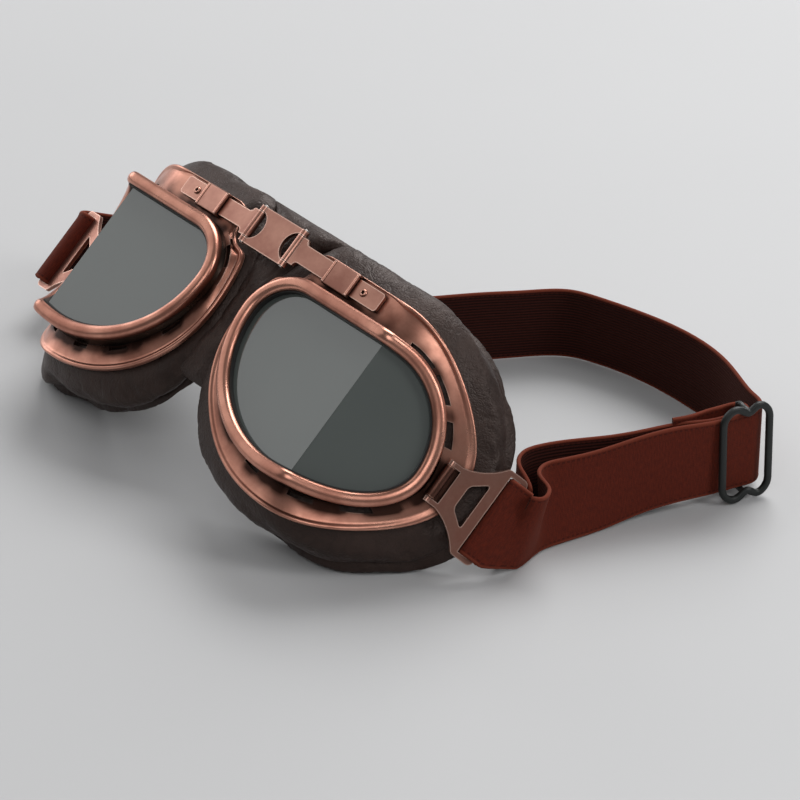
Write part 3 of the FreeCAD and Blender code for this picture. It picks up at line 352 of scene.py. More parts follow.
def objectPlace(tree):
    return addNode(tree, "ShaderNodeTexCoord").outputs["Object"]


def stretched(tree, place, scale):
    made = addNode(tree, "ShaderNodeMapping", {"Scale": scale})
    wire(tree, made, {"Vector": place})
    return made.outputs["Vector"]


def noiseAt(tree, place, values, scale=None, **props):
    made = addNode(tree, "ShaderNodeTexNoise", values, **props)
    wire(tree, made, {"Vector": place} if scale is None else {"Vector": place, "Scale": scale})
    return made.outputs


def bumpNormal(tree, height, strength, distance):
    made = addNode(tree, "ShaderNodeBump", {"Strength": strength, "Distance": distance})
    wire(tree, made, {"Height": height})
    return made.outputs["Normal"]


def placeGroup(tree, group, values):
    return addNode(tree, "ShaderNodeGroup", values, node_tree=group).outputs


def newMaterial(name):
    made = bpy.data.materials.new(name)
    made.use_nodes = True
    return made, made.node_tree, made.node_tree.nodes["Principled BSDF"]


# wear and painted light: corners made pale as rubbed metal and as their painted highlight, hollows painted dark as
# shade, and a slow blotch between, all in object space
wearAndShadeLook = {
    "cornerRadius": 0.0006, "cornerTurn": (0.995, 0.90), "uneven": (0.9, 0.45), "shaded": (0.35, 0.9),
    "blotch": (0.36, 0.64), "brushScale": 2600.0, "brushStretch": (1.0, 0.25, 0.25),
}
wearAndShadeGroup, wearAndShadeIn, wearAndShadeOut = newGroup(
    "wearTarnishAndPaintedShade",
    {"Blotch size": 90.0, "Hollow reach": 0.003},
    ("Hollow shade", "Rubbed and highlit", "Blotch", "Brushed"),
)
place = objectPlace(wearAndShadeGroup)
blotch = noiseAt(wearAndShadeGroup, place, {"Detail": 5.0, "Roughness": 0.62}, wearAndShadeIn.outputs["Blotch size"])["Fac"]
# painted shade: ambient occlusion finds the hollows, and they are put out as a mask that paints them dark
shadedHollow = addNode(wearAndShadeGroup, "ShaderNodeAmbientOcclusion", samples=8)
wire(wearAndShadeGroup, shadedHollow, {"Distance": wearAndShadeIn.outputs["Hollow reach"]})
surface = addNode(wearAndShadeGroup, "ShaderNodeNewGeometry")
rounded = addNode(wearAndShadeGroup, "ShaderNodeBevel", {"Radius": wearAndShadeLook["cornerRadius"]}, samples=6)
turned = addNode(wearAndShadeGroup, "ShaderNodeVectorMath", operation="DOT_PRODUCT")
wire(wearAndShadeGroup, turned, {0: rounded.outputs[0], 1: surface.outputs["Normal"]})
corner = mapRange(wearAndShadeGroup, turned.outputs["Value"], *wearAndShadeLook["cornerTurn"])
unevenGain, unevenBase = wearAndShadeLook["uneven"]
uneven = plus(wearAndShadeGroup, times(wearAndShadeGroup, blotch, unevenGain), unevenBase)
brushPlace = stretched(wearAndShadeGroup, place, wearAndShadeLook["brushStretch"])
brushed = noiseAt(wearAndShadeGroup, brushPlace, {"Scale": wearAndShadeLook["brushScale"], "Detail": 2.0})["Fac"]
wire(wearAndShadeGroup, wearAndShadeOut, {
    "Hollow shade": mapRange(wearAndShadeGroup, shadedHollow.outputs["AO"], *wearAndShadeLook["shaded"], 1.0, 0.0),
    # painted highlight and wear: rounded corners are marked to go pale, as rubbed metal and as their highlights
    "Rubbed and highlit": mathNode(wearAndShadeGroup, "MULTIPLY", corner, uneven, clamp=True),
    "Blotch": mapRange(wearAndShadeGroup, blotch, *wearAndShadeLook["blotch"]),
    "Brushed": brushed,
})

# grain: small cells with folds between them, as on thin hide, and larger creases over them
grainLook = {
    "push": 0.004, "largeWidth": 0.045, "smallWidth": 0.06, "smallScale": 3.1, "largePart": 0.6,
    "smallPart": 0.4, "cellEdge": 0.35, "cellPart": 0.5, "creasePart": 0.9, "shade": (0.3, 0.7),
}
grainGroup, grainIn, grainOut = newGroup(
    "hideGrain",
    {"Cell size": 900.0, "Crease size": 110.0},
    ("Height", "Crease", "Shade"),
)
place = objectPlace(grainGroup)
warp = noiseAt(grainGroup, place, {"Scale": 160.0, "Detail": 3.0})["Color"]
push = addNode(grainGroup, "ShaderNodeVectorMath", {3: grainLook["push"]}, operation="SCALE")
wire(grainGroup, push, {0: warp})
shifted = addNode(grainGroup, "ShaderNodeVectorMath", operation="ADD")
wire(grainGroup, shifted, {0: place, 1: push.outputs[0]})
cells = addNode(grainGroup, "ShaderNodeTexVoronoi", feature="DISTANCE_TO_EDGE")
wire(grainGroup, cells, {"Vector": shifted.outputs[0], "Scale": grainIn.outputs["Cell size"]})


def creaseLines(scale, width):
    # a line wherever the noise passes its middle value
    noise = noiseAt(grainGroup, shifted.outputs[0], {"Detail": 2.5, "Roughness": 0.5}, scale)["Fac"]
    away = mathNode(grainGroup, "ABSOLUTE", mathNode(grainGroup, "SUBTRACT", noise, 0.5))
    return mapRange(grainGroup, away, 0.0, width)


def weighed(a, partA, b, partB):
    # two heights added in the given parts
    return plus(grainGroup, times(grainGroup, a, partA), times(grainGroup, b, partB))


creaseSize = grainIn.outputs["Crease size"]
largeCrease = creaseLines(creaseSize, grainLook["largeWidth"])
smallCrease = creaseLines(times(grainGroup, creaseSize, grainLook["smallScale"]), grainLook["smallWidth"])
creaseHeight = weighed(largeCrease, grainLook["largePart"], smallCrease, grainLook["smallPart"])
cellHeight = mapRange(grainGroup, cells.outputs["Distance"], 0.0, grainLook["cellEdge"])
shade = noiseAt(grainGroup, place, {"Scale": 60.0, "Detail": 6.0, "Roughness": 0.65})["Fac"]
wire(grainGroup, grainOut, {
    "Height": weighed(cellHeight, grainLook["cellPart"], creaseHeight, grainLook["creasePart"]),
    "Crease": mathNode(grainGroup, "SUBTRACT", 1.0, creaseHeight),
    "Shade": mapRange(grainGroup, shade, *grainLook["shade"]),
})

# aged copper: pink-brown metal, with painted shade in the hollows and pale where hands rub it, that pale also a
# painted edge highlight;
# the plates are browner and the lugs are smoked
copperWearAndShade = {
    "sizes": {"Blotch size": 70.0, "Hollow reach": 0.0035}, "brownPart": 0.7, "rubbedAndHighlitPart": 0.95,
    "hollowShadePart": 0.85, "shadedHollow": (0.020, 0.009, 0.007), "blotchRough": 0.12, "shadeAndSoilRough": 0.22,
    "brush": (0.12, 0.00004),
}
# the pale of rubbed corners, also used as their painted edge highlight
rubbedAndHighlitPale = (0.92, 0.63, 0.52)
copperLooks = {
    "agedCopper": (rubbedAndHighlitPale, (0.68, 0.33, 0.24), (0.31, 0.117, 0.081), 0.25),
    "plateCopper": (rubbedAndHighlitPale, (0.48, 0.25, 0.19), (0.25, 0.10, 0.075), 0.27),
    "smokedCopper": ((0.42, 0.24, 0.18), (0.11, 0.05, 0.037), (0.045, 0.02, 0.015), 0.36),
}


def copperMaterial(name, highlitPale, body, brown, roughness):
    made, tree, shader = newMaterial(name)
    wear = placeGroup(tree, wearAndShadeGroup, copperWearAndShade["sizes"])
    patchy = mixColor(tree, times(tree, wear["Blotch"], copperWearAndShade["brownPart"]), body, brown)
    # corners go pale: rubbed wear and a painted edge highlight
    lit = mixColor(tree, times(tree, wear["Rubbed and highlit"], copperWearAndShade["rubbedAndHighlitPart"]), patchy, highlitPale)
    # per-point mark: painted shade at the bezel's base, the flange's foot and lower side and inside the eyelet, with
    # tarnish patches on the flange
    shadeAndTarnish = addNode(tree, "ShaderNodeAttribute", attribute_name="shadeAndTarnish").outputs["Fac"]
    # painted shade: hollows found by ambient occlusion, joined with the per-point mark, go to a near-black colour
    shadedAndSoiled = mathNode(tree, "MAXIMUM", times(tree, wear["Hollow shade"], copperWearAndShade["hollowShadePart"]), shadeAndTarnish)
    rough = plus(tree, times(tree, wear["Blotch"], copperWearAndShade["blotchRough"]), roughness)
    wire(tree, shader, {
        "Base Color": mixColor(tree, shadedAndSoiled, lit, copperWearAndShade["shadedHollow"]),
        "Roughness": plus(tree, rough, times(tree, shadedAndSoiled, copperWearAndShade["shadeAndSoilRough"])),
        "Normal": bumpNormal(tree, wear["Brushed"], *copperWearAndShade["brush"]),
    })
    shader.inputs["Metallic"].default_value = 1.0
    return made


agedCopper, plateCopper, smokedCopper = (copperMaterial(name, *look) for name, look in copperLooks.items())

# dark nickel of the housing wall, tarnished in patches, with painted shade in its hollows
nickelLook = {
    "sizes": {"Blotch size": 55.0, "Hollow reach": 0.004}, "clean": (0.085, 0.062, 0.05),
    "tarnish": (0.022, 0.015, 0.012), "shadedHollow": (0.006, 0.004, 0.003), "hollowShadePart": 0.75,
    "rough": (0.26, 0.46), "brush": (0.1, 0.00004),
}
darkNickel, tree, shader = newMaterial("darkNickel")
wear = placeGroup(tree, wearAndShadeGroup, nickelLook["sizes"])
base = mixColor(tree, wear["Blotch"], nickelLook["clean"], nickelLook["tarnish"])
# painted shade: the hollows go darker
base = mixColor(tree, times(tree, wear["Hollow shade"], nickelLook["hollowShadePart"]), base, nickelLook["shadedHollow"])
wire(tree, shader, {
    "Base Color": base,
    "Roughness": mapRange(tree, wear["Blotch"], 0.0, 1.0, *nickelLook["rough"]),
    "Normal": bumpNormal(tree, wear["Brushed"], *nickelLook["brush"]),
})
shader.inputs["Metallic"].default_value = 1.0

# bright steel of the hinge pins, with painted shade in its hollows
steelLook = {"clean": (0.62, 0.58, 0.55), "shadedHollow": (0.12, 0.09, 0.08), "rough": (0.2, 0.35)}
pinSteel, tree, shader = newMaterial("pinSteel")
wear = placeGroup(tree, wearAndShadeGroup, {"Blotch size": 200.0, "Hollow reach": 0.001})
wire(tree, shader, {
    # painted shade: the hollows go darker
    "Base Color": mixColor(tree, wear["Hollow shade"], steelLook["clean"], steelLook["shadedHollow"]),
    "Roughness": mapRange(tree, wear["Blotch"], 0.0, 1.0, *steelLook["rough"]),
})
shader.inputs["Metallic"].default_value = 1.0

# smoked glass with a reflecting front
glassLook = {"dark": (0.100, 0.115, 0.107), "light": (0.114, 0.130, 0.121), "rough": (0.03, 0.06)}
smokedGlass, tree, shader = newMaterial("smokedGlass")
film = noiseAt(tree, objectPlace(tree), {"Scale": 35.0, "Detail": 4.0})["Fac"]
wire(tree, shader, {
    "Base Color": mixColor(tree, film, glassLook["dark"], glassLook["light"]),
    "Roughness": mapRange(tree, film, 0.3, 0.7, *glassLook["rough"]),
})
shader.inputs["Transmission Weight"].default_value = 0.25
shader.inputs["IOR"].default_value = 2.1


def grainMaterial(name, look):
    # the grain as colour, roughness and relief; where the look says so its creases are darkened as painted shade
    made, tree, shader = newMaterial(name)
    grain = placeGroup(tree, grainGroup, {"Cell size": look["cell"], "Crease size": look["crease"]})
    base = mixColor(tree, grain["Shade"], look["dark"], look["light"])
    if "folds" in look:
        # painted shade: the creases are darkened to the fold colour
        base = mixColor(tree, times(tree, grain["Crease"], look["creaseShadePart"]), base, look["folds"])
    wire(tree, shader, {
        "Base Color": base,
        "Roughness": mapRange(tree, grain["Shade"], 0.0, 1.0, *look["rough"]),
        "Normal": bumpNormal(tree, grain["Height"], *look["bump"]),
    })
    return made, shader


# black rubber of the gasket
rubberLook = {
    "cell": 2500.0, "crease": 400.0, "dark": (0.006, 0.006, 0.006), "light": (0.014, 0.013, 0.012),
    "rough": (0.5, 0.68), "bump": (0.1, 0.00005),
}
blackRubber, shader = grainMaterial("blackRubber", rubberLook)

# black moulded plastic of the adjuster
plasticLook = {
    "cell": 3200.0, "crease": 700.0, "dark": (0.006, 0.0075, 0.007), "light": (0.013, 0.015, 0.014),
    "rough": (0.34, 0.5), "bump": (0.12, 0.00004),
}
satinBlack, shader = grainMaterial("satinBlack", plasticLook)
shader.inputs["Specular IOR Level"].default_value = 0.35

# worn hide: brown-black, with painted shade darkening the creases
hideLook = {
    "cell": 1150.0, "crease": 120.0, "dark": (0.012, 0.0056, 0.0042), "light": (0.031, 0.0165, 0.0125),
    "folds": (0.008, 0.004, 0.003), "creaseShadePart": 0.55, "rough": (0.4, 0.56), "bump": (0.5, 0.0002),
}
wornHide, shader = grainMaterial("wornHide", hideLook)
shader.inputs["Specular Tint"].default_value = (1.0, 0.84, 0.78, 1.0)
shader.inputs["Specular IOR Level"].default_value = 0.42
shader.inputs["Sheen Weight"].default_value = 0.04
shader.inputs["Sheen Roughness"].default_value = 0.45
shader.inputs["Sheen Tint"].default_value = (0.8, 0.66, 0.62, 1.0)

# woven elastic: u runs along the band and v across it, both in millimetres
weaveSizes = {"Rib pitch": 0.96, "Thread pitch": 0.42, "Half width": 12.0}
weaveLook = {
    "fleckStretch": (2.4, 0.55, 1.0), "fleck": (0.3, 0.7), "edge": (0.55, 0.95), "seamFrom": (1.0, 1.15),
    "seamTo": (1.45, 1.6), "stitchPitch": 1.5, "dash": (0.3, 0.6), "crossPitch": 0.55, "crossShift": 0.9,
}
weaveGroup, weaveIn, weaveOut = newGroup(
    "elasticWeave",
    weaveSizes,
    ("Rib", "Thread", "Fleck", "Selvage", "Stitch"),
)
bandPlace = addNode(weaveGroup, "ShaderNodeUVMap", uv_map="along").outputs["UV"]
parts = addNode(weaveGroup, "ShaderNodeSeparateXYZ")
wire(weaveGroup, parts, {0: bandPlace})
along, across = parts.outputs["X"], parts.outputs["Y"]


def ripple(value, pitch, shift=0.0):
    # half of one plus the sine of the distance over the pitch
    phase = mathNode(weaveGroup, "DIVIDE", times(weaveGroup, value, 2 * math.pi), pitch)
    wave = mathNode(weaveGroup, "SINE", plus(weaveGroup, phase, shift))
    return plus(weaveGroup, times(weaveGroup, wave, 0.5), 0.5)


fleckPlace = stretched(weaveGroup, bandPlace, weaveLook["fleckStretch"])
fleckNoise = {"Scale": 1.0, "Detail": 3.0, "Roughness": 0.7}
flecks = noiseAt(weaveGroup, fleckPlace, fleckNoise, noise_dimensions="2D")["Fac"]
fromMiddle = mathNode(weaveGroup, "ABSOLUTE", across)
inset = mathNode(weaveGroup, "SUBTRACT", weaveIn.outputs["Half width"], fromMiddle)
seamStart = mapRange(weaveGroup, inset, *weaveLook["seamFrom"])
seamBand = times(weaveGroup, seamStart, mapRange(weaveGroup, inset, *weaveLook["seamTo"], 1.0, 0.0))
dashes = mapRange(weaveGroup, ripple(along, weaveLook["stitchPitch"]), *weaveLook["dash"])
lengthwise = ripple(along, weaveIn.outputs["Thread pitch"])
crosswise = ripple(across, weaveLook["crossPitch"], weaveLook["crossShift"])
wire(weaveGroup, weaveOut, {
    "Rib": ripple(across, weaveIn.outputs["Rib pitch"]),
    "Thread": times(weaveGroup, lengthwise, crosswise),
    "Fleck": mapRange(weaveGroup, flecks, *weaveLook["fleck"]),
    "Selvage": mapRange(weaveGroup, inset, *weaveLook["edge"], 1.0, 0.0),
    "Stitch": times(weaveGroup, seamBand, dashes),
})

strapLook = {
    "thread": (0.112, 0.0165, 0.0078), "shadow": (0.062, 0.0086, 0.0041),
    "ribDark": (0.006, 0.0014, 0.0010), "ribLight": (0.038, 0.0068, 0.0042),
    "edge": (0.175, 0.038, 0.020), "stitch": (0.050, 0.0078, 0.0042), "threadPart": 0.35, "edgePart": 0.7,
    "stitchPart": 0.9, "threadHeight": 0.5, "rough": (0.78, 0.92), "bump": (0.55, 0.00015),
}
rustElastic, tree, shader = newMaterial("rustElastic")
weave = placeGroup(tree, weaveGroup, weaveSizes)
ribSide = addNode(tree, "ShaderNodeAttribute", attribute_name="ribbed").outputs["Fac"]
face = mixColor(tree, weave["Fleck"], strapLook["shadow"], strapLook["thread"])
face = mixColor(tree, times(tree, weave["Thread"], strapLook["threadPart"]), face, strapLook["thread"])
ribs = mixColor(tree, weave["Rib"], strapLook["ribDark"], strapLook["ribLight"])
base = mixColor(tree, ribSide, face, ribs)
base = mixColor(tree, times(tree, weave["Selvage"], strapLook["edgePart"]), base, strapLook["edge"])
base = mixColor(tree, times(tree, weave["Stitch"], strapLook["stitchPart"]), base, strapLook["stitch"])
height = times(tree, weave["Thread"], strapLook["threadHeight"])
height = plus(tree, height, times(tree, weave["Rib"], ribSide))
height = plus(tree, height, weave["Stitch"])
wire(tree, shader, {
    "Base Color": base,
    "Roughness": mapRange(tree, weave["Fleck"], 0.0, 1.0, *strapLook["rough"]),
    "Normal": bumpNormal(tree, height, *strapLook["bump"]),
})
shader.inputs["Sheen Weight"].default_value = 0.07
shader.inputs["Sheen Roughness"].default_value = 0.5
shader.inputs["Sheen Tint"].default_value = (0.9, 0.32, 0.2, 1.0)
shader.inputs["Specular IOR Level"].default_value = 0.15
print("finishes ready:", len(bpy.data.materials))

# outlines: a straight top and four quarter ellipses, seen along the depth axis
outlineKeys = (
    "top", "noseX", "noseLevel", "bottom", "bottomX", "templeX", "templeLevel", "topNoseX", "topTempleX",
)
bezelOutline = dict(zip(outlineKeys, (-7.2, 11.0, -20.7, -54.0, 51.0, 89.9, -31.9, 26.3, 65.6)))
baseOutline = dict(bezelOutline, templeX=76.4, topTempleX=60.0)
flangeOutline = dict(zip(outlineKeys, (4.0, 3.4, -25.3, -63.3, 52.0, 86.3, -28.5, 22.4, 53.0)))
rimOutline = dict(zip(outlineKeys, (6.3, 6.0, -30.0, -65.5, 53.0, 87.5, -31.0, 21.0, 49.0)))
topPiece, lowTemplePiece = 0, 3  # the pieces that the crease crosses


def outlineAt(o, piece, share):
    # point and outward normal at a share of one of the five pieces
    a = share * np.pi / 2
    s, c = np.sin(a), np.cos(a)
    cases = [piece == 1, piece == 2, piece == 3]
    widths = [o["topNoseX"] - o["noseX"], o["bottomX"] - o["noseX"], o["templeX"] - o["bottomX"]]
    heights = [o["top"] - o["noseLevel"], o["noseLevel"] - o["bottom"], o["templeLevel"] - o["bottom"]]
    cx = np.select(cases, [o["topNoseX"], o["bottomX"], o["bottomX"]], o["topTempleX"])
    cz = np.where(piece <= 2, o["noseLevel"], o["templeLevel"])
    rx = np.select(cases, widths, o["templeX"] - o["topTempleX"])
    rz = np.select(cases, heights, o["top"] - o["templeLevel"])
    sx = np.select(cases, [-s, -c, s], c)
    sz = np.select(cases, [c, -s, -c], s)
    nx, nz = sx / rx, sz / rz
    length = np.hypot(nx, nz)
    top = piece == topPiece
    x = np.where(top, o["topTempleX"] + (o["topNoseX"] - o["topTempleX"]) * share, cx + rx * sx)
    z = np.where(top, o["top"], cz + rz * sz)
    return x, z, np.where(top, 0.0, nx / length), np.where(top, 1.0, nz / length)


def creaseShares(o, x):
    # where the outline passes a given x on its top and on its lower temple piece
    onTop = (o["topTempleX"] - x) / (o["topTempleX"] - o["topNoseX"])
    below = math.asin((x - o["bottomX"]) / (o["templeX"] - o["bottomX"])) / (math.pi / 2)
    return {topPiece: onTop, lowTemplePiece: below}


pane = {"creaseX": 59.8, "forward": 2.3, "bend": 49.4, "reach": 2.4}  # two panes and the bend between them
creaseAt = creaseShares(bezelOutline, pane["creaseX"])


def stations(counts, nearCrease=()):
    # even shares on each piece, with a few more close to the crease
    gaps = np.array(nearCrease)
    pieces, shares = [], []
    for k, count in enumerate(counts):
        run = np.arange(count) / count
        if k in creaseAt and len(gaps):
            run = run[np.abs(run - creaseAt[k]) > gaps.max()]
            run = np.sort(np.concatenate([run, creaseAt[k] - gaps, [creaseAt[k]], creaseAt[k] + gaps]))
        pieces.append(np.full(len(run), k))
        shares.append(run)
    return np.concatenate(pieces), np.concatenate(shares)


def softFold(x, z, depth):
    # two flat panes with a bend of given reach: the angle eases over the crease, depth follows the normal
    b, reach = math.radians(pane["bend"]), pane["reach"]
    table = np.linspace(-reach, reach, 241)
    angle = b * smoothStep(table, -reach, reach)
    ways = np.stack([np.cos(angle), np.sin(angle)])
    run = np.cumsum((ways[:, 1:] + ways[:, :-1]) / 2 * (table[1] - table[0]), axis=1)
    runX, runY = np.pad(run, ((0, 0), (1, 0)))
    shrink = reach * math.sin(b) / runY[-1]
    s = x - pane["creaseX"]
    a = b * smoothStep(s, -reach, reach)
    inX = -reach + np.interp(s, table, runX) * shrink
    inY = np.interp(s, table, runY) * shrink
    px = np.where(s < -reach, s, np.where(s > reach, s * math.cos(b), inX))
    py = np.where(s < -reach, 0.0, np.where(s > reach, s * math.sin(b), inY))
    foldedX = pane["creaseX"] + px - depth * np.sin(a)
    return np.stack([foldedX, py + depth * np.cos(a) - pane["forward"], z + 0 * depth], -1)


# eyecup: its plate starts behind the slider, leans by the fold and wraps back from wrapFrom on
eyecup = {"foldDeg": 5.5, "pinX": 9.3, "sliderHalf": 0.75, "wrapFrom": 50.0, "wrapDepth": 29.6}
pinX = eyecup["pinX"]
slope = math.tan(math.radians(eyecup["foldDeg"]))
plateStart = eyecup["sliderHalf"] / math.cos(math.radians(eyecup["foldDeg"]))
wrap = eyecup["wrapDepth"] / (flangeOutline["templeX"] - eyecup["wrapFrom"]) ** 2


def flangeLean(x):
    # the angle whose tangent is the slope of the plate's line
    return np.arctan(slope + 2 * wrap * np.maximum(x - eyecup["wrapFrom"], 0))


def onFlange(x, z, lift):
    # a plane that wraps back on a parabola towards the temple; lift goes along its normal, off the lens
    y = plateStart + slope * (x - pinX) + wrap * np.maximum(x - eyecup["wrapFrom"], 0) ** 2
    angle = flangeLean(x)
    return np.stack([x - lift * np.sin(angle), y + lift * np.cos(angle), z + 0 * lift], -1)


def sideShares(nx):
    # how far an outline faces the nose, and how far the temple
    return smoothStep(-nx, 0.1, 0.7), smoothStep(nx, 0.15, 0.85)


def aboutPin(local):
    # a place in the slider's own frame, turned by the fold about the hinge pin
    f = math.radians(eyecup["foldDeg"])
    x, y, z = local[..., 0], local[..., 1], local[..., 2]
    return np.stack([pinX + x * math.cos(f) - y * math.sin(f), x * math.sin(f) + y * math.cos(f), z], -1)


# bezel: a half round carried along the kinked outline, with a straight back edge
bezel = {
    "halfWidth": 1.95, "crown": 1.5, "crownPower": 0.9, "sides": 1.3, "back": 1.45, "chamfer": 0.15,
    "steps": 15, "counts": (60, 60, 84, 70, 70), "nearCrease": (0.005, 0.012, 0.02, 0.03, 0.042, 0.055),
    "fade": 4.0, "shadeAndTarnish": 0.8, "shadeDepth": (-0.3, 0.5),
}
piece, share = stations(bezel["counts"], bezel["nearCrease"])
x, z, nx, nz = outlineAt(bezelOutline, piece, share)
theta = np.linspace(0, np.pi, bezel["steps"])
wide, narrow = bezel["halfWidth"], bezel["halfWidth"] - bezel["chamfer"]
offset = np.concatenate([wide * np.cos(theta), [-wide, -narrow, narrow, wide]])
backEdge = [bezel["sides"], bezel["back"], bezel["back"], bezel["sides"]]
depth = np.concatenate([-bezel["crown"] * np.sin(theta) ** bezel["crownPower"], backEdge])
fade = smoothStep(np.abs(x - pane["creaseX"]), 0.0, bezel["fade"])[:, None]
ring = softFold(x[:, None] + nx[:, None] * fade * offset, z[:, None] + nz[:, None] * offset, depth[None, :])
rows, cols = ring.shape[:2]
# painted shade: the bezel darkens towards its sides and back, where it meets the flange
shadeAndTarnish = np.tile(bezel["shadeAndTarnish"] * smoothStep(depth, *bezel["shadeDepth"]), (rows, 1))
bezelMesh = {"values": {"shadeAndTarnish": shadeAndTarnish}, "sharp": 50}
for side, made in mirroredPair("Bezel", toWorld(ring), gridQuads(rows, cols), agedCopper, **bezelMesh):
    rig.replaces(made, side + "_bezel")
    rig.slot(made, "copper")
    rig.ride(made, side + "_eyecup")
print("bezels done")

# flange: a plate between the housing's foot and a rolled edge, with slots through it
# and a notch round the hinge
flange = {
    "opening": 0.4, "foot": 1.2, "slot": (1.95, 3.35), "slotLength": 6.2, "thick": 1.2, "bead": 0.5,
    "beadWidth": 1.7, "backEdge": 0.25, "notch": 7.7, "notchEase": (9.5, 13.5), "easePasses": 9,
    "leastShare": 0.3, "noseBack": 1.9, "noseIn": 1.2, "templeIn": 2.6, "footBend": 0.06,
    "plateBend": (0.13, 0.85), "counts": (90, 84, 110, 90, 96),
}
# painted shade at the flange's foot and lower side, mixed with tarnish patches
flangeShadeAndTarnish = {
    "lines": (1.0, 1.0, 1.0, 0.92, 0.8, 0.58, 0.34, 0.16, 0.06), "seed": 71, "patchSize": 9.0,
    "patch": (0.6, 0.7), "lower": (0.8, 0.6), "lowerFrom": (-0.2, 0.6), "most": 0.96,
}
slimBead = {"share": 0.36, "lowest": -6.0, "fromX": 46.0, "toX": 54.0, "endX": 60.0}  # beside the tongue
slotPlaces = (
    (1, 0.62), (2, 0.3), (2, 0.62), (2, 0.86), (3, 0.2), (3, 0.5), (4, 0.34), (4, 0.62), (4, 0.9),
)
piece, share = stations(flange["counts"])
bx, bz, bnx, bnz = outlineAt(baseOutline, piece, share)
fx, fz, fnx, fnz = outlineAt(flangeOutline, piece, share)
# where the outline falls inside the notch it is moved back along its own line to the notch's edge
gx, gz = fx - bx, fz - bz
qa = gx**2 + gz**2
qb = 2 * (gx * (bx - pinX) + gz * bz)
qc = (bx - pinX) ** 2 + bz**2 - flange["notch"] ** 2
root = np.sqrt(np.maximum(qb**2 - 4 * qa * qc, 0))
inside = np.hypot(fx - pinX, fz) < flange["notch"]
cutShare = np.where(inside, np.clip((-qb - root) / (2 * qa), flange["leastShare"], 1), 1.0)
ex, ez = bx + gx * cutShare, bz + gz * cutShare
enx = np.where(inside, (pinX - ex) / flange["notch"], fnx)
enz = np.where(inside, -ez / flange["notch"], fnz)


def blurred(a):
    # each value mixed with two neighbours on either side, in parts 1 2 3 2 1
    return sum(w * np.roll(a, k - 2) for k, w in enumerate(np.array([1, 2, 3, 2, 1]) / 9.0))


ex, ez, enx, enz = blurred(ex), blurred(ez), blurred(enx), blurred(enz)
byNotch = 1 - smoothStep(np.hypot(ex - pinX, ez), *flange["notchEase"])
for k in range(flange["easePasses"]):
    # the notch's ends are rounded off
    ex, ez, enx, enz = (v + (blurred(v) - v) * byNotch for v in (ex, ez, enx, enz))
noseward, templeward = sideShares(fnx)
ex = ex + flange["noseIn"] * noseward - flange["templeIn"] * templeward
unit = np.hypot(enx, enz)
enx, enz = enx / unit, enz / unit
# the bead is slim where the slider's tongue runs along the top
slimHere = (ez > slimBead["lowest"]) & (ex < slimBead["endX"])
widening = smoothStep(ex, slimBead["fromX"], slimBead["toX"])
slim = np.where(slimHere, slimBead["share"] + (1 - slimBead["share"]) * widening, 1.0)
beadShape = (
    (-1.0, 0.0), (-0.86, -0.12), (-0.66, -0.62), (-0.46, -0.95), (-0.27, -1.0), (-0.12, -0.8),
    (-0.03, -0.4), (0.0, 0.1),
)
frontFoot = (flange["opening"], flange["foot"], *flange["slot"])
frontPlate = (0.1, 0.25, 0.45, 0.65, 0.85)


def flangeLine(kind, value, lift):
    # one line round the flange, given from the foot, from the edge, or as a share between them
    bendFrom, bendTo = flange["plateBend"]
    if kind == "foot":
        px, pz = bx + bnx * value, bz + bnz * value
        bent = flange["footBend"] * max(value - flange["foot"], 0)
    elif kind == "edge":
        px, pz = ex + enx * value * slim, ez + enz * value * slim
        bent = 1 + (1 - bendTo) * value / flange["beadWidth"]
    else:
        ax, az = bx + bnx * flange["slot"][1], bz + bnz * flange["slot"][1]
        cx, cz = ex - enx * flange["beadWidth"] * slim, ez - enz * flange["beadWidth"] * slim
        px, pz = ax + (cx - ax) * value, az + (cz - az) * value
        bent = bendFrom + (bendTo - bendFrom) * value
    line = onFlange(px, pz, lift + 0 * px)
    line[:, 1] += flange["noseBack"] * noseward * bent
    return line


thick, beadWidth = flange["thick"], flange["beadWidth"]
backRim = ((0.0, 0.8 * thick), (-flange["backEdge"], thick), (-beadWidth, thick))
lines = [flangeLine("foot", v, 0.0) for v in frontFoot]
lines += [flangeLine("between", v, 0.0) for v in frontPlate]
lines += [flangeLine("edge", v * beadWidth, h * flange["bead"] * slim**0.5) for v, h in beadShape]
lines += [flangeLine("edge", v, h) for v, h in backRim]
lines += [flangeLine("between", v, thick) for v in frontPlate[::-1]]
lines += [flangeLine("foot", v, thick) for v in frontFoot[::-1]]
plate = np.stack(lines, 1)
rows, cols = plate.shape[:2]
# painted shade and tarnish: dark at the foot, in patches, and darker on the lower side than on the upper side, that
# last as painted shade
footShadeAndTarnish = np.zeros(cols)
footShadeAndTarnish[:len(flangeShadeAndTarnish["lines"])] = flangeShadeAndTarnish["lines"]
patchy = np.clip(0.5 + 0.5 * waveNoise(plate, flangeShadeAndTarnish["seed"], flangeShadeAndTarnish["patchSize"]), 0, 1)
shadedLowSide = smoothStep(-fnz, *flangeShadeAndTarnish["lowerFrom"])[:, None]
shadeAndTarnish = footShadeAndTarnish * (flangeShadeAndTarnish["patch"][0] + flangeShadeAndTarnish["patch"][1] * patchy)
shadeAndTarnish = shadeAndTarnish * (flangeShadeAndTarnish["lower"][0] + flangeShadeAndTarnish["lower"][1] * shadedLowSide)
shadeAndTarnish = np.clip(shadeAndTarnish, 0, flangeShadeAndTarnish["most"])
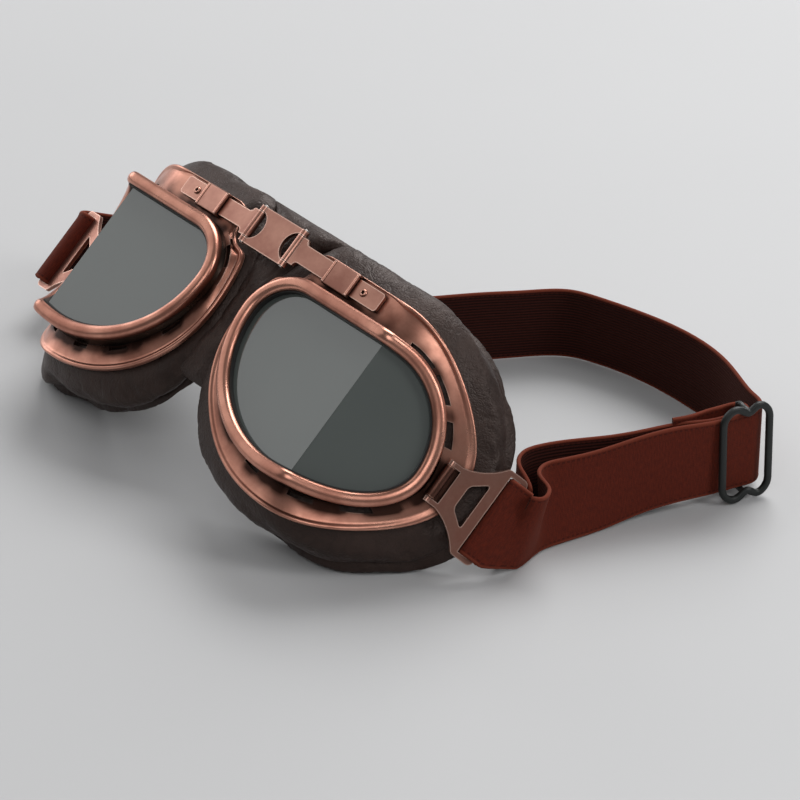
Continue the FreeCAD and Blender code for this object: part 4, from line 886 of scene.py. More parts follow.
# the cells of the slots are left out, front and back, and walls join the two openings
run = np.hypot(np.roll(bx, -1) - bx, np.roll(bz, -1) - bz)
arc = np.concatenate([[0.0], np.cumsum(run)[:-1]])
around = run.sum()
isSlot = np.zeros(rows, bool)
for slotPiece, slotShare in slotPlaces:
    middle = arc[np.argmin(np.abs(piece - slotPiece) * 10 + np.abs(share - slotShare))]
    away = np.abs((arc + run / 2 - middle + around / 2) % around - around / 2)
    isSlot |= away < flange["slotLength"] / 2
frontLine, backLine = 2, cols - 4  # the slot's cells on the front and on the back
slotLines = (frontLine, frontLine + 1, backLine, backLine + 1)
quads = gridQuads(rows, cols)
row, col = np.divmod(np.arange(len(quads)), cols)
quads = quads[~(isSlot[row] & ((col == frontLine) | (col == backLine)))]
k = np.nonzero(isSlot)[0]
nextK = (k + 1) % rows
first = k[~isSlot[k - 1]]
last = (k[~isSlot[nextK]] + 1) % rows


def wall(*corners):
    # quads from four corners, each a row of the grid and a column
    return np.stack([r * cols + c for r, c in corners], -1)


walls = [
    wall((k, frontLine), (nextK, frontLine), (nextK, backLine + 1), (k, backLine + 1))[:, ::-1],
    wall((k, frontLine + 1), (nextK, frontLine + 1), (nextK, backLine), (k, backLine)),
    wall(*((first, c) for c in slotLines)),
    wall(*((last, c) for c in slotLines))[:, ::-1],
]
flangeQuads = np.concatenate([quads] + walls)
flangeMesh = {"values": {"shadeAndTarnish": shadeAndTarnish}, "sharp": 45}
for side, made in mirroredPair("Flange", toWorld(plate), flangeQuads, agedCopper, **flangeMesh):
    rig.replaces(made, side + "_flange")
    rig.slot(made, "copper")
    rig.ride(made, side + "_eyecup")
print("flanges done:", int(isSlot.sum()), "slot cells")

# cushion: a roll of hide from under the flange out and back to the rim, an edge that lies on the face
# or the table, and a lining
cushion = {
    "lift": 1.6, "inset": 1.0, "opening": 1.2, "top": 6.2, "bottom": 4.4, "temple": 4.3, "nose": 3.2,
    "noseLow": 3.6, "leftLow": 6.2, "rimWidth": 8.0, "noseDepth": 14.0, "slopeShare": 0.28,
    "templeGain": 6.0, "lip": 1.4, "seam": 0.675, "clearance": 0.7, "rest": 0.25,
    "counts": (90, 84, 116, 96, 96),
}
hideWaves = {
    "slow": 24.0, "slowHeight": 0.22, "folds": 6.5, "foldsSqueeze": 0.35, "foldsDepth": 0.16, "small": 3.4,
    "smallSqueeze": 0.5, "smallDepth": 0.10, "creaseWidth": 0.25,
}
# the roll's section: share of the way to the rim, and share of the swell
rollShares = np.array([
    (0.0, 0.0), (0.05, 0.34), (0.1, 0.6), (0.2, 0.86), (0.3, 0.98), (0.42, 0.99), (0.53, 0.93),
    (0.61, 0.66), (cushion["seam"], 0.4), (0.74, 0.56), (0.82, 0.7), (0.91, 0.46), (1.0, 0.0),
])


def rimAt(o, piece, share, offset):
    # the rim's line: deeper towards the temple, and cut short by the table
    x, z, nx, nz = outlineAt(o, piece, share)
    x, z = x + nx * offset, z + nz * offset
    t = math.radians(maskPlace["tilt"])
    free = cushion["noseDepth"] + cushion["slopeShare"] * x + cushion["templeGain"] * (x / o["templeX"]) ** 2
    table = (maskPlace["up"] - cushion["clearance"] + z * math.cos(t)) / math.sin(t)
    return np.stack([x, np.minimum(free, table), z], -1)


piece, share = stations(cushion["counts"])
fx, fz, fnx, fnz = outlineAt(flangeOutline, piece, share)
noseward, templeward = sideShares(fnx)
startX = fx + flange["noseIn"] * noseward - flange["templeIn"] * templeward - fnx * cushion["inset"]
start = onFlange(startX, fz - fnz * cushion["inset"], np.full(len(fx), cushion["lift"]))
start[:, 1] += flange["noseBack"] * noseward
rimOut = rimAt(rimOutline, piece, share, 0.0)
rimIn = rimAt(rimOutline, piece, share, -cushion["rimWidth"])
bx, bz, bnx, bnz = outlineAt(baseOutline, piece, share)
mouthX, mouthZ = bx + bnx * cushion["opening"], bz + bnz * cushion["opening"]
mouth = onFlange(mouthX, mouthZ, np.full(len(bx), cushion["lift"]))
lean = flangeLean(fx)
outward = np.stack([fnx * np.cos(lean), fnx * np.sin(lean), fnz], -1)
swell = np.where(fnz > 0, cushion["top"], cushion["bottom"]) * fnz**2
swell = swell + np.where(fnx > 0, cushion["temple"], cushion["nose"]) * fnx**2
swell = swell + cushion["noseLow"] * 2 * fnx * fnz * ((fnx < 0) & (fnz < 0))
skinShare = np.linspace(0, 1, 34)
lipShare = np.linspace(0, 1, 12)[1:-1]
liningShare = np.linspace(0, 1, 16)
tuckShare = np.linspace(0, 1, 7)[1:-1]
rollOut = np.interp(skinShare, rollShares[:, 0], rollShares[:, 1])
rollOut = np.convolve(np.pad(rollOut, 1, mode="edge"), [0.2, 0.6, 0.2], "valid")
rollOut[0] = 0.0
skin = ruled(start, rimOut, skinShare) + (outward * swell[:, None])[:, None] * rollOut[None, :, None]
lip = ruled(rimOut, rimIn, lipShare)
lip[..., 1] += cushion["lip"] * np.sin(np.pi * lipShare)
roll = np.concatenate([skin, lip, ruled(rimIn, mouth, liningShare), ruled(mouth, start, tuckShare)], 1)
rows, cols = roll.shape[:2]
# across the roll: 0 to 1 on the skin, 1 to 2 on the edge, 3 on the lining
across = np.concatenate([skinShare, 1 + lipShare, np.full(len(liningShare) + len(tuckShare), 3.0)])
loose = smoothStep(across, 0.04, 0.25) * (1 - smoothStep(across, 1.2, 2.4))
outerLine = 10  # a line on the outside of the roll


def spread(values, count, picked, axis):
    # straight-line filling between picked grid lines, closed on itself
    where = np.arange(count)
    k = np.searchsorted(picked, where, side="right") - 1
    nextAt = np.append(picked[1:], count + picked[0])
    t = (where - picked[k]) / (nextAt[k] - picked[k])
    shape = [1] * values.ndim
    shape[axis] = count
    t = t.reshape(shape)
    return np.take(values, k, axis) * (1 - t) + np.take(values, (k + 1) % len(picked), axis) * t


swelling = {
    "scale": 10.0, "pressure": 4.0, "frames": 20, "growth": -0.02, "most": 0.9, "rowStep": 3, "colStep": 2,
    "quality": 6, "mass": 0.4, "stretch": 20, "shear": 8, "bend": 0.8,
}


def swollen(base):
    # the hide swells between its sewn lines: Blender's cloth under pressure, ten times life size,
    # then scaled back
    pickRow, pickCol = np.arange(0, rows, swelling["rowStep"]), np.arange(0, cols, swelling["colStep"])
    coarse = base[pickRow][:, pickCol]
    flat = coarse.reshape(-1, 3) * (mm * swelling["scale"])
    quads = gridQuads(len(pickRow), len(pickCol))
    quads = quads[:, ::-1] if signedVolume(flat, quads) < 0 else quads
    mesh = bpy.data.meshes.new("swelling")
    mesh.from_pydata(flat.tolist(), [], quads.tolist())
    made = bpy.data.objects.new("swelling", mesh)
    bpy.context.scene.collection.objects.link(made)
    line = across[pickCol]
    sewn = (line < 0.03) | (np.abs(line - cushion["seam"]) < 0.02) | (line > 1.95)
    held = made.vertex_groups.new(name="sewn")
    held.add(np.nonzero(np.tile(sewn, len(pickRow)))[0].tolist(), 1.0, "REPLACE")
    cloth = made.modifiers.new("swelling", "CLOTH")
    hide = cloth.settings
    hide.quality = swelling["quality"]
    hide.mass = swelling["mass"]
    hide.tension_stiffness = swelling["stretch"]
    hide.compression_stiffness = swelling["stretch"]
    hide.shear_stiffness = swelling["shear"]
    hide.bending_stiffness = swelling["bend"]
    hide.vertex_group_mass = "sewn"
    hide.pin_stiffness = 1.0
    hide.use_pressure = True
    hide.uniform_pressure_force = swelling["pressure"]
    hide.shrink_min = swelling["growth"]
    hide.effector_weights.gravity = 0
    cloth.collision_settings.use_collision = False
    for k in range(1, swelling["frames"] + 1):
        bpy.context.scene.frame_set(k)
    settled = made.evaluated_get(bpy.context.evaluated_depsgraph_get())
    after = np.zeros(len(flat) * 3)
    settled.data.vertices.foreach_get("co", after)
    bpy.data.objects.remove(made)
    bpy.data.meshes.remove(mesh)
    bpy.context.scene.frame_set(1)
    moved = (after.reshape(-1, 3) - flat) / (mm * swelling["scale"])
    size = np.linalg.norm(moved, axis=1, keepdims=True)
    moved = moved * np.minimum(1, swelling["most"] / np.maximum(size, 1e-6))
    print("hide swelled by up to", round(float(size.max()), 2), "mm, kept to", swelling["most"])
    moved = moved.reshape(len(pickRow), len(pickCol), 3)
    moved = (2 * moved + np.roll(moved, 1, 0) + np.roll(moved, -1, 0)) / 4
    return base + spread(spread(moved, rows, pickRow, 0), cols, pickCol, 1) * loose[None, :, None]


def cushionPoints(side, seed):
    # slow swelling, folds that run across the roll and fine rumples, all along the surface normal
    n = gridNormals(roll)
    n *= np.sign((n[:, outerLine] * outward).sum(-1)).mean()
    p = roll
    if side == "left":
        # the left roll lies fuller on the table at its lower temple corner
        lower = smoothStep(fnx, -0.1, 0.5) * smoothStep(-fnz, -0.05, 0.5)
        onSkin = smoothStep(across, 0.1, 0.5) * (across < 1.5)
        p = p + (outward * (cushion["leftLow"] * lower)[:, None])[:, None] * onSkin[None, :, None]
    slow = waveNoise(p, seed, hideWaves["slow"])
    p = p + n * (hideWaves["slowHeight"] * slow * loose)[..., None]
    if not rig.quick():
        p = swollen(p)
    folds = waveNoise(p * np.array([1.0, hideWaves["foldsSqueeze"], 1.0]), seed + 1, hideWaves["folds"])
    small = waveNoise(p * np.array([1.0, hideWaves["smallSqueeze"], 1.0]), seed + 3, hideWaves["small"])
    relief = -hideWaves["foldsDepth"] * bell(folds, hideWaves["creaseWidth"])
    relief = relief - hideWaves["smallDepth"] * bell(small, hideWaves["creaseWidth"])
    p = toWorld(p + n * (relief * loose)[..., None])
    p[..., 2] = np.maximum(p[..., 2], cushion["rest"])  # it rests on the table
    return p * np.array([1.0 if side == "right" else -1.0, 1.0, 1.0])


for side, seed in (("right", 11), ("left", 31)):
    made = putMesh(side + "Cushion", cushionPoints(side, seed), gridQuads(rows, cols), wornHide)
    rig.replaces(made, side + "_cushion")
    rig.slot(made, "leather")
    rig.ride(made, side + "_eyecup")
    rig.padded(made, fill=0.75)
print("cushions done:", rows * cols, "points each")

# nose hide: a soft saddle between the two rolls, its sides tucked behind them;
# four strips, so that the inner ones cross the folds and the outer ones the slides
saddle = {
    "top": 10.2, "bottom": -46.0, "front": 4.6, "back": 12.5, "topBack": 16.5, "backEase": (-22.0, 4.0),
    "gap": 2.2, "topGap": 7.8, "bottomGap": 7.4, "tuck": 5.0, "rows": 70, "cut": 4.3, "power": 0.75,
    "endPower": 7, "endLeast": 0.02, "inner": 12, "outer": 29,
}
saddleWaves = {"slow": 14.0, "height": 0.3, "folds": 8.0, "squeeze": 0.5, "width": 0.3, "seeds": (51, 52)}
level = np.linspace(saddle["top"], saddle["bottom"], saddle["rows"])
o = flangeOutline
above = level > o["noseLevel"]
reachUp, reachDown = o["top"] - o["noseLevel"], o["noseLevel"] - o["bottom"]
fromNose = level - o["noseLevel"]
heightShare = np.where(above, fromNose / reachUp, -fromNose / reachDown)
endGap = np.where(above, saddle["topGap"], saddle["bottomGap"])
gap = saddle["gap"] + (endGap - saddle["gap"]) * np.minimum(heightShare, 1.0) ** 2
cx = np.where(above, o["topNoseX"], o["bottomX"])
rx = cx - o["noseX"] + gap
rz = np.where(above, reachUp, reachDown) + gap
half = cx - rx * np.sqrt(np.maximum(1 - (fromNose / rz) ** 2, 0)) + saddle["tuck"]
endShare = np.linspace(-1, 1, saddle["rows"])
plump = np.sqrt(np.maximum(1 - np.abs(endShare) ** saddle["endPower"], saddle["endLeast"]))
far = saddle["back"] + (saddle["topBack"] - saddle["back"]) * smoothStep(level, *saddle["backEase"])
middle, thick = (saddle["front"] + far[:, None]) / 2, (far[:, None] - saddle["front"]) / 2
cutAngle = np.arccos((saddle["cut"] / half) ** (1 / saddle["power"]))[:, None]
frontAngles = -np.pi / 2 + (np.pi / 2 - cutAngle) * np.linspace(0, 1, saddle["inner"])
stripAngles = {
    "Inner": np.concatenate([frontAngles, -frontAngles[:, ::-1]], 1),
    "Outer": cutAngle * np.linspace(-1, 1, saddle["outer"]),
}
stripBlends = {
    "Inner": ("bridge", "{}_slider", 0.0004, 0.004),
    "Outer": ("{}_slider", "{}_eyecup", 0.0046, 0.0068),
}


def saddleStrip(name, angle, hand):
    # superellipse sections, x by half the width and y by the depth, roughened along y
    ca, sa = np.cos(angle), np.sin(angle)
    px = hand * half[:, None] * np.abs(ca) ** saddle["power"]
    py = middle + thick * plump[:, None] * signedPower(sa, saddle["power"])
    grid = np.stack([px, py, level[:, None] + 0 * px], -1)
    slow = waveNoise(grid, saddleWaves["seeds"][0], saddleWaves["slow"])
    squeezed = grid * np.array([1, 1, saddleWaves["squeeze"]])
    folds = waveNoise(squeezed, saddleWaves["seeds"][1], saddleWaves["folds"])
    bumps = saddleWaves["height"] * (slow - bell(folds, saddleWaves["width"]))
    grid[..., 1] += np.sign(sa) * bumps * (np.abs(ca) < 0.9)
    rows, cols = px.shape
    quads = gridQuads(rows, cols, False, True)
    return putMesh(name, toWorld(grid), quads, wornHide, caps=endCaps(rows, cols), sharp=60)


for side, hand in (("left", -1.0), ("right", 1.0)):
    for strip, angle in stripAngles.items():
        made = saddleStrip("noseHide" + strip + side.capitalize(), angle, hand)
        bodyA, bodyB, a, b = stripBlends[strip]
        start, end = (hand * a, 0.0, 0.03), (hand * b, 0.0, 0.03)
        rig.blend(made, bodyA.format(side), bodyB.format(side), start=start, end=end)
        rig.slot(made, "leather")
        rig.padded(made, fill=0.5)
        if strip == "Inner" and side == "right":
            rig.replaces(made, "nose_leather")
print("nose hide done, half width at the waist mm:", round(float(half.min()), 2))

# strap: a band between a low edge and a high edge, in world millimetres
backRun = [
    (-106.4, -42.0, 10.5, -106.2, -26.5, 28.0),
    (-109.5, -35.5, 6.5, -109.1, -24.5, 27.2),
    (-109.5, -28.0, 3.0, -108.8, -21.0, 25.8),
    (-106.5, -20.5, 1.0, -105.6, -16.5, 24.7),
    (-102.0, -13.0, 0.3, -101.4, -11.1, 24.1),
    (-95.5, -6.5, 0.2, -95.2, -5.7, 24.1),
    (-86.0, -1.0, 0.2, -86.0, -0.7, 24.1),
    (-72.0, 3.5, 0.2, -72.0, 3.5, 24.1),
    (-52.0, 7.0, 0.2, -52.0, 7.0, 24.1),
    (-34.0, 9.0, 0.2, -34.0, 9.0, 24.1),
    (-20.0, 12.5, 0.2, -20.0, 12.5, 24.1),
    (-10.0, 20.5, 0.2, -10.0, 20.5, 24.1),
    (-3.4, 32.0, 0.2, -2.9, 31.9, 24.1),
    (3.2, 45.1, 0.2, 4.3, 44.5, 24.1),
    (7.9, 53.4, 0.2, 9.5, 52.5, 24.1),
    (11.9, 59.9, 0.2, 13.3, 58.8, 24.1),
    (17.2, 65.3, 0.2, 18.0, 64.1, 24.1),
    (24.7, 68.7, 0.2, 25.2, 67.3, 24.1),
    (37.8, 72.1, 0.2, 38.0, 70.9, 24.1),
    (53.5, 73.4, 0.2, 53.4, 73.8, 24.1),
    (64.4, 73.2, 0.2, 64.4, 74.1, 24.1),
    (76.4, 71.3, 0.6, 76.4, 71.8, 24.5),
    (87.9, 66.8, 1.3, 88.2, 67.0, 25.3),
    (97.6, 62.9, 2.2, 97.9, 62.9, 26.2),
]
outerRun = [
    (101.6, 33.4, 3.2, 100.2, 33.7, 27.1),
    (98.0, 21.5, 2.0, 95.5, 21.9, 25.8),
    (95.6, 8.8, 0.3, 90.9, 9.4, 23.7),
    (94.2, -1.5, 0.3, 87.4, -0.3, 23.2),
    (93.5, -6.5, 0.3, 86.6, -4.9, 23.0),
    (93.2, -10.0, 0.3, 89.1, -8.5, 23.0),
    (93.6, -13.0, 0.3, 93.0, -9.9, 23.0),
    (94.3, -15.9, 0.3, 96.9, -11.3, 23.0),
    (95.2, -19.0, 0.3, 99.2, -13.9, 23.0),
    (96.0, -22.3, 0.5, 99.4, -16.5, 23.0),
    (95.8, -25.3, 1.6, 97.3, -18.0, 23.0),
]
innerRun = [
    (97.8, 36.8, 1.7, 96.8, 36.9, 25.6),
    (94.1, 28.7, 1.1, 93.1, 28.8, 25.0),
    (90.0, 18.3, 0.5, 88.5, 18.5, 24.4),
    (85.4, 8.8, 0.3, 83.2, 9.1, 24.1),
    (82.3, 0.5, 0.3, 79.8, 0.9, 24.1),
    (81.5, -4.9, 0.3, 79.0, -4.3, 24.1),
    (82.6, -9.7, 0.3, 80.2, -7.9, 24.0),
    (85.2, -14.3, 0.3, 82.7, -10.3, 23.8),
    (88.2, -18.9, 0.4, 86.2, -11.7, 23.3),
    (90.8, -23.9, 1.0, 89.8, -12.6, 22.2),
    (92.3, -28.9, 2.8, 92.2, -13.6, 20.6),
]
strap = {
    "width": 24.0, "thick": 1.1, "step": 0.9, "ribs": 25, "ribDepth": 0.2, "ribReach": 0.94,
    "faceReach": 0.985, "edgeThin": 0.55, "edgePower": 40, "selvage": 0.10, "selvageAt": 0.955,
    "selvageWidth": 0.02, "rest": 0.1,
}
loop = {
    "slotFill": 12.36, "centre": 19.2, "radius": 1.5, "start": 20.3, "end": 21.5, "leadOut": 1.5,
    "fill": 2.95,
}
leftLoop = [
    (23.8, -0.3), (22.6, 1.0), (20.7, 2.4), (18.5, 2.9), (16.7, 2.5), (15.95, 1.3), (16.1, 0.0),
    (16.9, -1.1), (18.4, -1.5), (20.0, -1.5), (21.5, -1.5),
]
hinges = {
    "right": (np.array([81.198, 25.652, -29.8]), 58.0),
    "left": (np.array([-81.198, 25.652, -33.5]), 168.0),
}
# the adjuster's place, and the strap's way through it as forward and outward
glide = {
    "place": np.array([105.3, 52.5, 15.1]), "turn": 11.5, "offset": 0.65, "wrap": 2.55, "lead": 9.0,
    "through": ((7.0, -2.6), (4.2, 0.3), (0.0, 0.65), (-4.5, 0.65), (-9.0, 0.65)),
    "tail": ((-19.5, -6.05), (-16.0, -5.5), (-12.5, -5.4), (-8.5, -5.75), (-4.5, -5.8)),
}
glideAhead, glideInside = flatWays(90 - glide["turn"])
glideOutside = -glideInside


def bracketStation(side, reach, aside):
    # a place in a bracket's own frame: reach from its hinge, aside from its plane
    hinge, deg = hinges[side]
    reachWay, plateWay = flatWays(deg)
    centre = hinge + reach * reachWay + aside * plateWay
    up = np.array([0, 0, loop["slotFill"]])
    return np.concatenate([toWorld(centre - up), toWorld(centre + up)])


def glideStation(forward, outwardBy):
    # a place beside the adjuster, with the strap upright
    centre = glide["place"] + forward * glideAhead + outwardBy * glideOutside
    up = np.array([0, 0, strap["width"] / 2])
    return np.concatenate([centre - up, centre + up])


def cubicThrough(marks, values, fine):
    # natural cubic through the values: second slopes from one linear system, then piecewise cubics
    n = len(marks)
    h = np.diff(marks)
    system = np.eye(n)
    i = np.arange(1, n - 1)
    system[i, i - 1], system[i, i], system[i, i + 1] = h[:-1], 2 * (h[:-1] + h[1:]), h[1:]
    slopes = np.diff(values, axis=0) / h[:, None]
    right = np.zeros_like(values)
    right[1:-1] = 6 * np.diff(slopes, axis=0)
    second = np.linalg.solve(system, right)
    k = np.clip(np.searchsorted(marks, fine, side="right") - 1, 0, n - 2)
    t, w = (fine - marks[k])[:, None], h[k][:, None]
    leave = slopes[k] - w * (2 * second[k] + second[k + 1]) / 6
    bend = (second[k + 1] - second[k]) / (6 * w)
    return values[k] + t * (leave + t * (second[k] / 2 + t * bend))


def bandEdges(table):
    # low and high edge sampled at an even step along the middle line
    table = np.array(table, float)
    middle = (table[:, :3] + table[:, 3:]) / 2
    marks = np.concatenate([[0.0], np.cumsum(np.linalg.norm(np.diff(middle, axis=0), axis=1))])
    fine = np.linspace(0, marks[-1], max(int(marks[-1] / strap["step"]), 8) + 1)
    both = cubicThrough(marks, table, fine)
    return both[:, :3], both[:, 3:], fine


def bandPiece(name, low, high, length, ribbedSide, cut):
    # a flat section with round edges and a thicker selvage, carried along the two edges;
    # one face has lengthwise ribs
    lows, highs = low[cut], high[cut]
    heading = np.gradient((low + high) / 2, axis=0)[cut]
    upright = highs - lows
    lift = unitRows(np.cross(heading, upright))
    faceQ = np.linspace(-strap["faceReach"], strap["faceReach"], strap["ribs"] * 4 + 1)
    acrossQ = np.concatenate([[-1.0], faceQ, [1.0], faceQ[::-1]])
    sideSign = np.concatenate([[0.0], np.ones(len(faceQ)), [0.0], -np.ones(len(faceQ))])
    fromMiddle = np.abs(acrossQ)
    rim = 1 - strap["edgeThin"] * fromMiddle ** strap["edgePower"]
    selvage = strap["selvage"] * bell(fromMiddle - strap["selvageAt"], strap["selvageWidth"])
    ribWave = strap["ribDepth"] / 2 * (np.cos(acrossQ * np.pi * strap["ribs"]) - 1)
    ribbed = (sideSign == ribbedSide) & (fromMiddle < strap["ribReach"])
    halfThick = strap["thick"] / 2 * rim + selvage + np.where(ribbed, ribWave, 0.0)
    points = (lows + highs)[:, None] / 2 + upright[:, None] / 2 * acrossQ[None, :, None]
    points = points + lift[:, None] * (sideSign * halfThick)[None, :, None]
    points[..., 2] = np.maximum(points[..., 2], strap["rest"])
    rows, cols = points.shape[:2]
    bandMesh = {
        "caps": endCaps(rows, cols),
        "uv": np.stack(np.broadcast_arrays(length[cut][:, None], acrossQ * strap["width"] / 2), -1),
        "values": {"ribbed": np.tile(ribbed, (rows, 1))},
        "sharp": 70,
    }
    made = putMesh(name, points, gridQuads(rows, cols, False, True), rustElastic, **bandMesh)
    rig.slot(made, "strap")
    return made


def cutBand(table, ribbedSide, names, places=()):
    # one band cut into named pieces, at the stations closest to given places on the table
    low, high, length = bandEdges(table)
    middle = (low + high)[:, :2] / 2
    cuts = [int(np.argmin(np.hypot(*(middle - np.array(p)).T))) for p in places]
    cuts = [0] + cuts + [len(low) - 1]
    pieces = {}
    for name, first, last in zip(names, cuts[:-1], cuts[1:]):
        pieces[name] = bandPiece(name, low, high, length, ribbedSide, slice(first, last + 1))
    return pieces, float(length[-1])


def blendPieces(pieces, blends):
    for name, (bodyA, bodyB, a, b) in blends.items():
        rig.blend(pieces[name], bodyA, bodyB, start=a, end=b)


loopSide, loopEnd = loop["radius"], loop["end"]
leadOut = loopEnd + loop["leadOut"]
mainTable = [bracketStation("left", r, -loopSide) for r in (loopEnd, leadOut)] + backRun
mainTable = mainTable + [glideStation(f, o) for f, o in glide["through"]] + outerRun
mainTable = mainTable + [bracketStation("right", r, -loopSide) for r in (leadOut, loopEnd)]
mainNames = (
    "strapLeftEnd", "strapLeftMid", "strapLeftFar", "strapBack",
    "strapRightFar", "strapRightMid", "strapRightEnd",
)
mainCuts = ((-78.0, 1.8), (-61.0, 5.6), (-18.0, 13.8), (94.3, 14.3), (91.6, 3.2), (91.2, 0.0))
mainBlends = {
    "strapLeftEnd": ("left_eyecup", "left_bracket", (-0.1, 0.0, 0.012), (-0.1, -0.0255, 0.012)),
    "strapLeftMid": ("left_slider", "left_eyecup", (-0.0635, 0.0, 0.012), (-0.0765, 0.0, 0.012)),
    "strapLeftFar": ("bridge", "left_slider", (-0.0195, 0.01, 0.012), (-0.0595, 0.01, 0.012)),
    "strapRightFar": ("bridge", "right_slider", (0.094, 0.0135, 0.012), (0.094, 0.0041, 0.012)),
    "strapRightMid": ("right_slider", "right_eyecup", (0.092, 0.0023, 0.012), (0.092, 0.0009, 0.012)),
    "strapRightEnd": ("right_eyecup", "right_bracket", (0.092, -0.0009, 0.012), (0.092, -0.015, 0.012)),
}
strapLength = {}
mainPieces, strapLength["main"] = cutBand(mainTable, 1.0, mainNames, mainCuts)
blendPieces(mainPieces, mainBlends)
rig.ride(mainPieces["strapBack"], "bridge")
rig.replaces(mainPieces["strapBack"], "strap_main")

wrapCentre = -glide["offset"] - glide["wrap"]
turn = np.linspace(0, np.pi, 9)
wrapRound = [(glide["wrap"] * math.sin(a), wrapCentre - glide["wrap"] * math.cos(a)) for a in turn]
wrapLead = [(-glide["lead"] * f, -glide["offset"]) for f in (0.5, 1.0)]
returnTable = [glideStation(f, o) for f, o in [*glide["tail"], *wrapRound, *wrapLead]] + innerRun
returnTable = returnTable + [bracketStation("right", r, loopSide) for r in (leadOut, loopEnd)]
returnNames = ("strapWrap", "strapInnerFar", "strapInnerMid", "strapInnerEnd")
returnCuts = ((86.4, 12.2), (82.2, 3.1), (80.9, 0.0))
returnBlends = {
    "strapWrap": ("bridge", "tri_glide", (0.09, 0.0127, 0.012), (0.09, 0.042, 0.012)),
    "strapInnerFar": ("bridge", "right_slider", (0.083, 0.0117, 0.012), (0.083, 0.0037, 0.012)),
    "strapInnerMid": ("right_slider", "right_eyecup", (0.083, 0.0025, 0.012), (0.083, 0.0006, 0.012)),
    "strapInnerEnd": ("right_eyecup", "right_bracket", (0.083, -0.0006, 0.012), (0.083, -0.0125, 0.012)),
}
returnPieces, strapLength["return"] = cutBand(returnTable, -1.0, returnNames, returnCuts)
blendPieces(returnPieces, returnBlends)
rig.replaces(returnPieces["strapWrap"], "strap_return")

roundBar = [(loop["centre"] - loop["fill"] * math.sin(a), -loopSide * math.cos(a)) for a in turn]
rightLoop = [(loopEnd, -loopSide), (loop["start"], -loopSide), *roundBar]
rightLoop = rightLoop + [(loop["start"], loopSide), (loopEnd, loopSide)]
for side, route, ribbedSide in (("right", rightLoop, 1.0), ("left", leftLoop, -1.0)):
    name = side + "Loop"
    loopTable = [bracketStation(side, r, a) for r, a in route]
    pieces, strapLength[name] = cutBand(loopTable, ribbedSide, (name,))
    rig.ride(pieces[name], side + "_bracket")
    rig.replaces(pieces[name], side + "_strap_loop")
print("strap done, mm:", {k: round(v, 1) for k, v in strapLength.items()})

# adjuster: a rounded ring in front of the strap, drawn in at the middle of each end,
# and a bar that steps back behind the strap
buckle = {
    "halfLength": 7.5, "back": 0.6, "halfHeight": 14.3, "up": 0.45, "corner": 4.6, "dip": 1.9,
    "dipWidth": 2.3, "dipFrom": 9.0, "ahead": 2.9, "lean": 0.05, "inPlane": 1.05, "through": 0.92,
    "bar": 0.82, "barPoints": 60,
}
# half of the bar from its end to its middle: up, and outward
barSteps = (
    (12.6, 2.3), (13.0, 1.5), (13.15, 0.4), (13.15, -1.2), (12.95, -2.4), (12.2, -3.1), (10.8, -3.25),
)


def roundedBar(path, sideways, halfWide, halfThick, closed, square=2.7, steps=20):
    # a rounded-square section carried along a path, one of its axes kept to the given side direction
    ahead = np.roll(path, -1, 0) - np.roll(path, 1, 0) if closed else np.gradient(path, axis=0)
    ahead = unitRows(ahead)
    first = unitRows(sideways - ahead * (sideways * ahead).sum(1, keepdims=True))
    second = np.cross(ahead, first)
    a = np.linspace(0, 2 * np.pi, steps, endpoint=False)
    wide = halfWide * signedPower(np.cos(a), 2 / square)
    thick = halfThick * signedPower(np.sin(a), 2 / square)
    return path[:, None] + first[:, None] * wide[None, :, None] + second[:, None] * thick[None, :, None]


quarter = np.linspace(0, np.pi / 2, 12)
centreF, centreU = buckle["halfLength"] - buckle["corner"], buckle["halfHeight"] - buckle["corner"]
outline = []  # forward and up, then the way out of the ring
for k, (sf, su) in enumerate(((1, 1), (-1, 1), (-1, -1), (1, -1))):
    wayF, wayU = np.cos(quarter + k * np.pi / 2), np.sin(quarter + k * np.pi / 2)
    cornerF, cornerU = sf * centreF + buckle["corner"] * wayF, su * centreU + buckle["corner"] * wayU
    outline += [(cornerF, cornerU, wayF, wayU)]
    if k in (0, 2):
        rail = np.linspace(sf * centreF, -sf * centreF, 17)[1:-1]
        outline += [(rail, 0 * rail + su * buckle["halfHeight"], 0 * rail, 0 * rail + su)]
frameF, frameU, sideF, sideU = np.concatenate(outline, axis=1)
frameF, frameU = frameF - buckle["back"], frameU + buckle["up"]
dip = buckle["dip"] * bell(frameF, buckle["dipWidth"]) * (np.abs(frameU) > buckle["dipFrom"])
frameU = frameU - np.sign(frameU) * dip
frameOut = buckle["ahead"] - buckle["lean"] * frameU
high = np.array([0, 0, 1.0])
ringPath = glide["place"] + frameF[:, None] * glideAhead + frameOut[:, None] * glideOutside
ringPath = ringPath + frameU[:, None] * high
ringSide = sideF[:, None] * glideAhead + sideU[:, None] * high
ringPoints = roundedBar(ringPath, ringSide, buckle["inPlane"], buckle["through"], True)
steps = np.array(barSteps)
ends = np.concatenate([steps * np.array([-1, 1]), steps[::-1]])
rise = cubicThrough(np.arange(len(ends)), ends, np.linspace(0, len(ends) - 1, buckle["barPoints"]))
barPath = glide["place"] + rise[:, 1:] * glideOutside + rise[:, :1] * high
barPoints = roundedBar(barPath, glideAhead + 0 * barPath, buckle["bar"], buckle["bar"], False)
frameMade = putMesh("adjusterFrame", ringPoints, gridQuads(*ringPoints.shape[:2]), satinBlack)
rows, cols = barPoints.shape[:2]
barQuads = gridQuads(rows, cols, False, True)
barMade = putMesh("adjusterBar", barPoints, barQuads, satinBlack, caps=endCaps(rows, cols), sharp=60)
for made in (frameMade, barMade):
    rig.slot(made, "black_plastic")
    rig.ride(made, "tri_glide")
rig.replaces(frameMade, "tri_glide")
print("adjuster done")

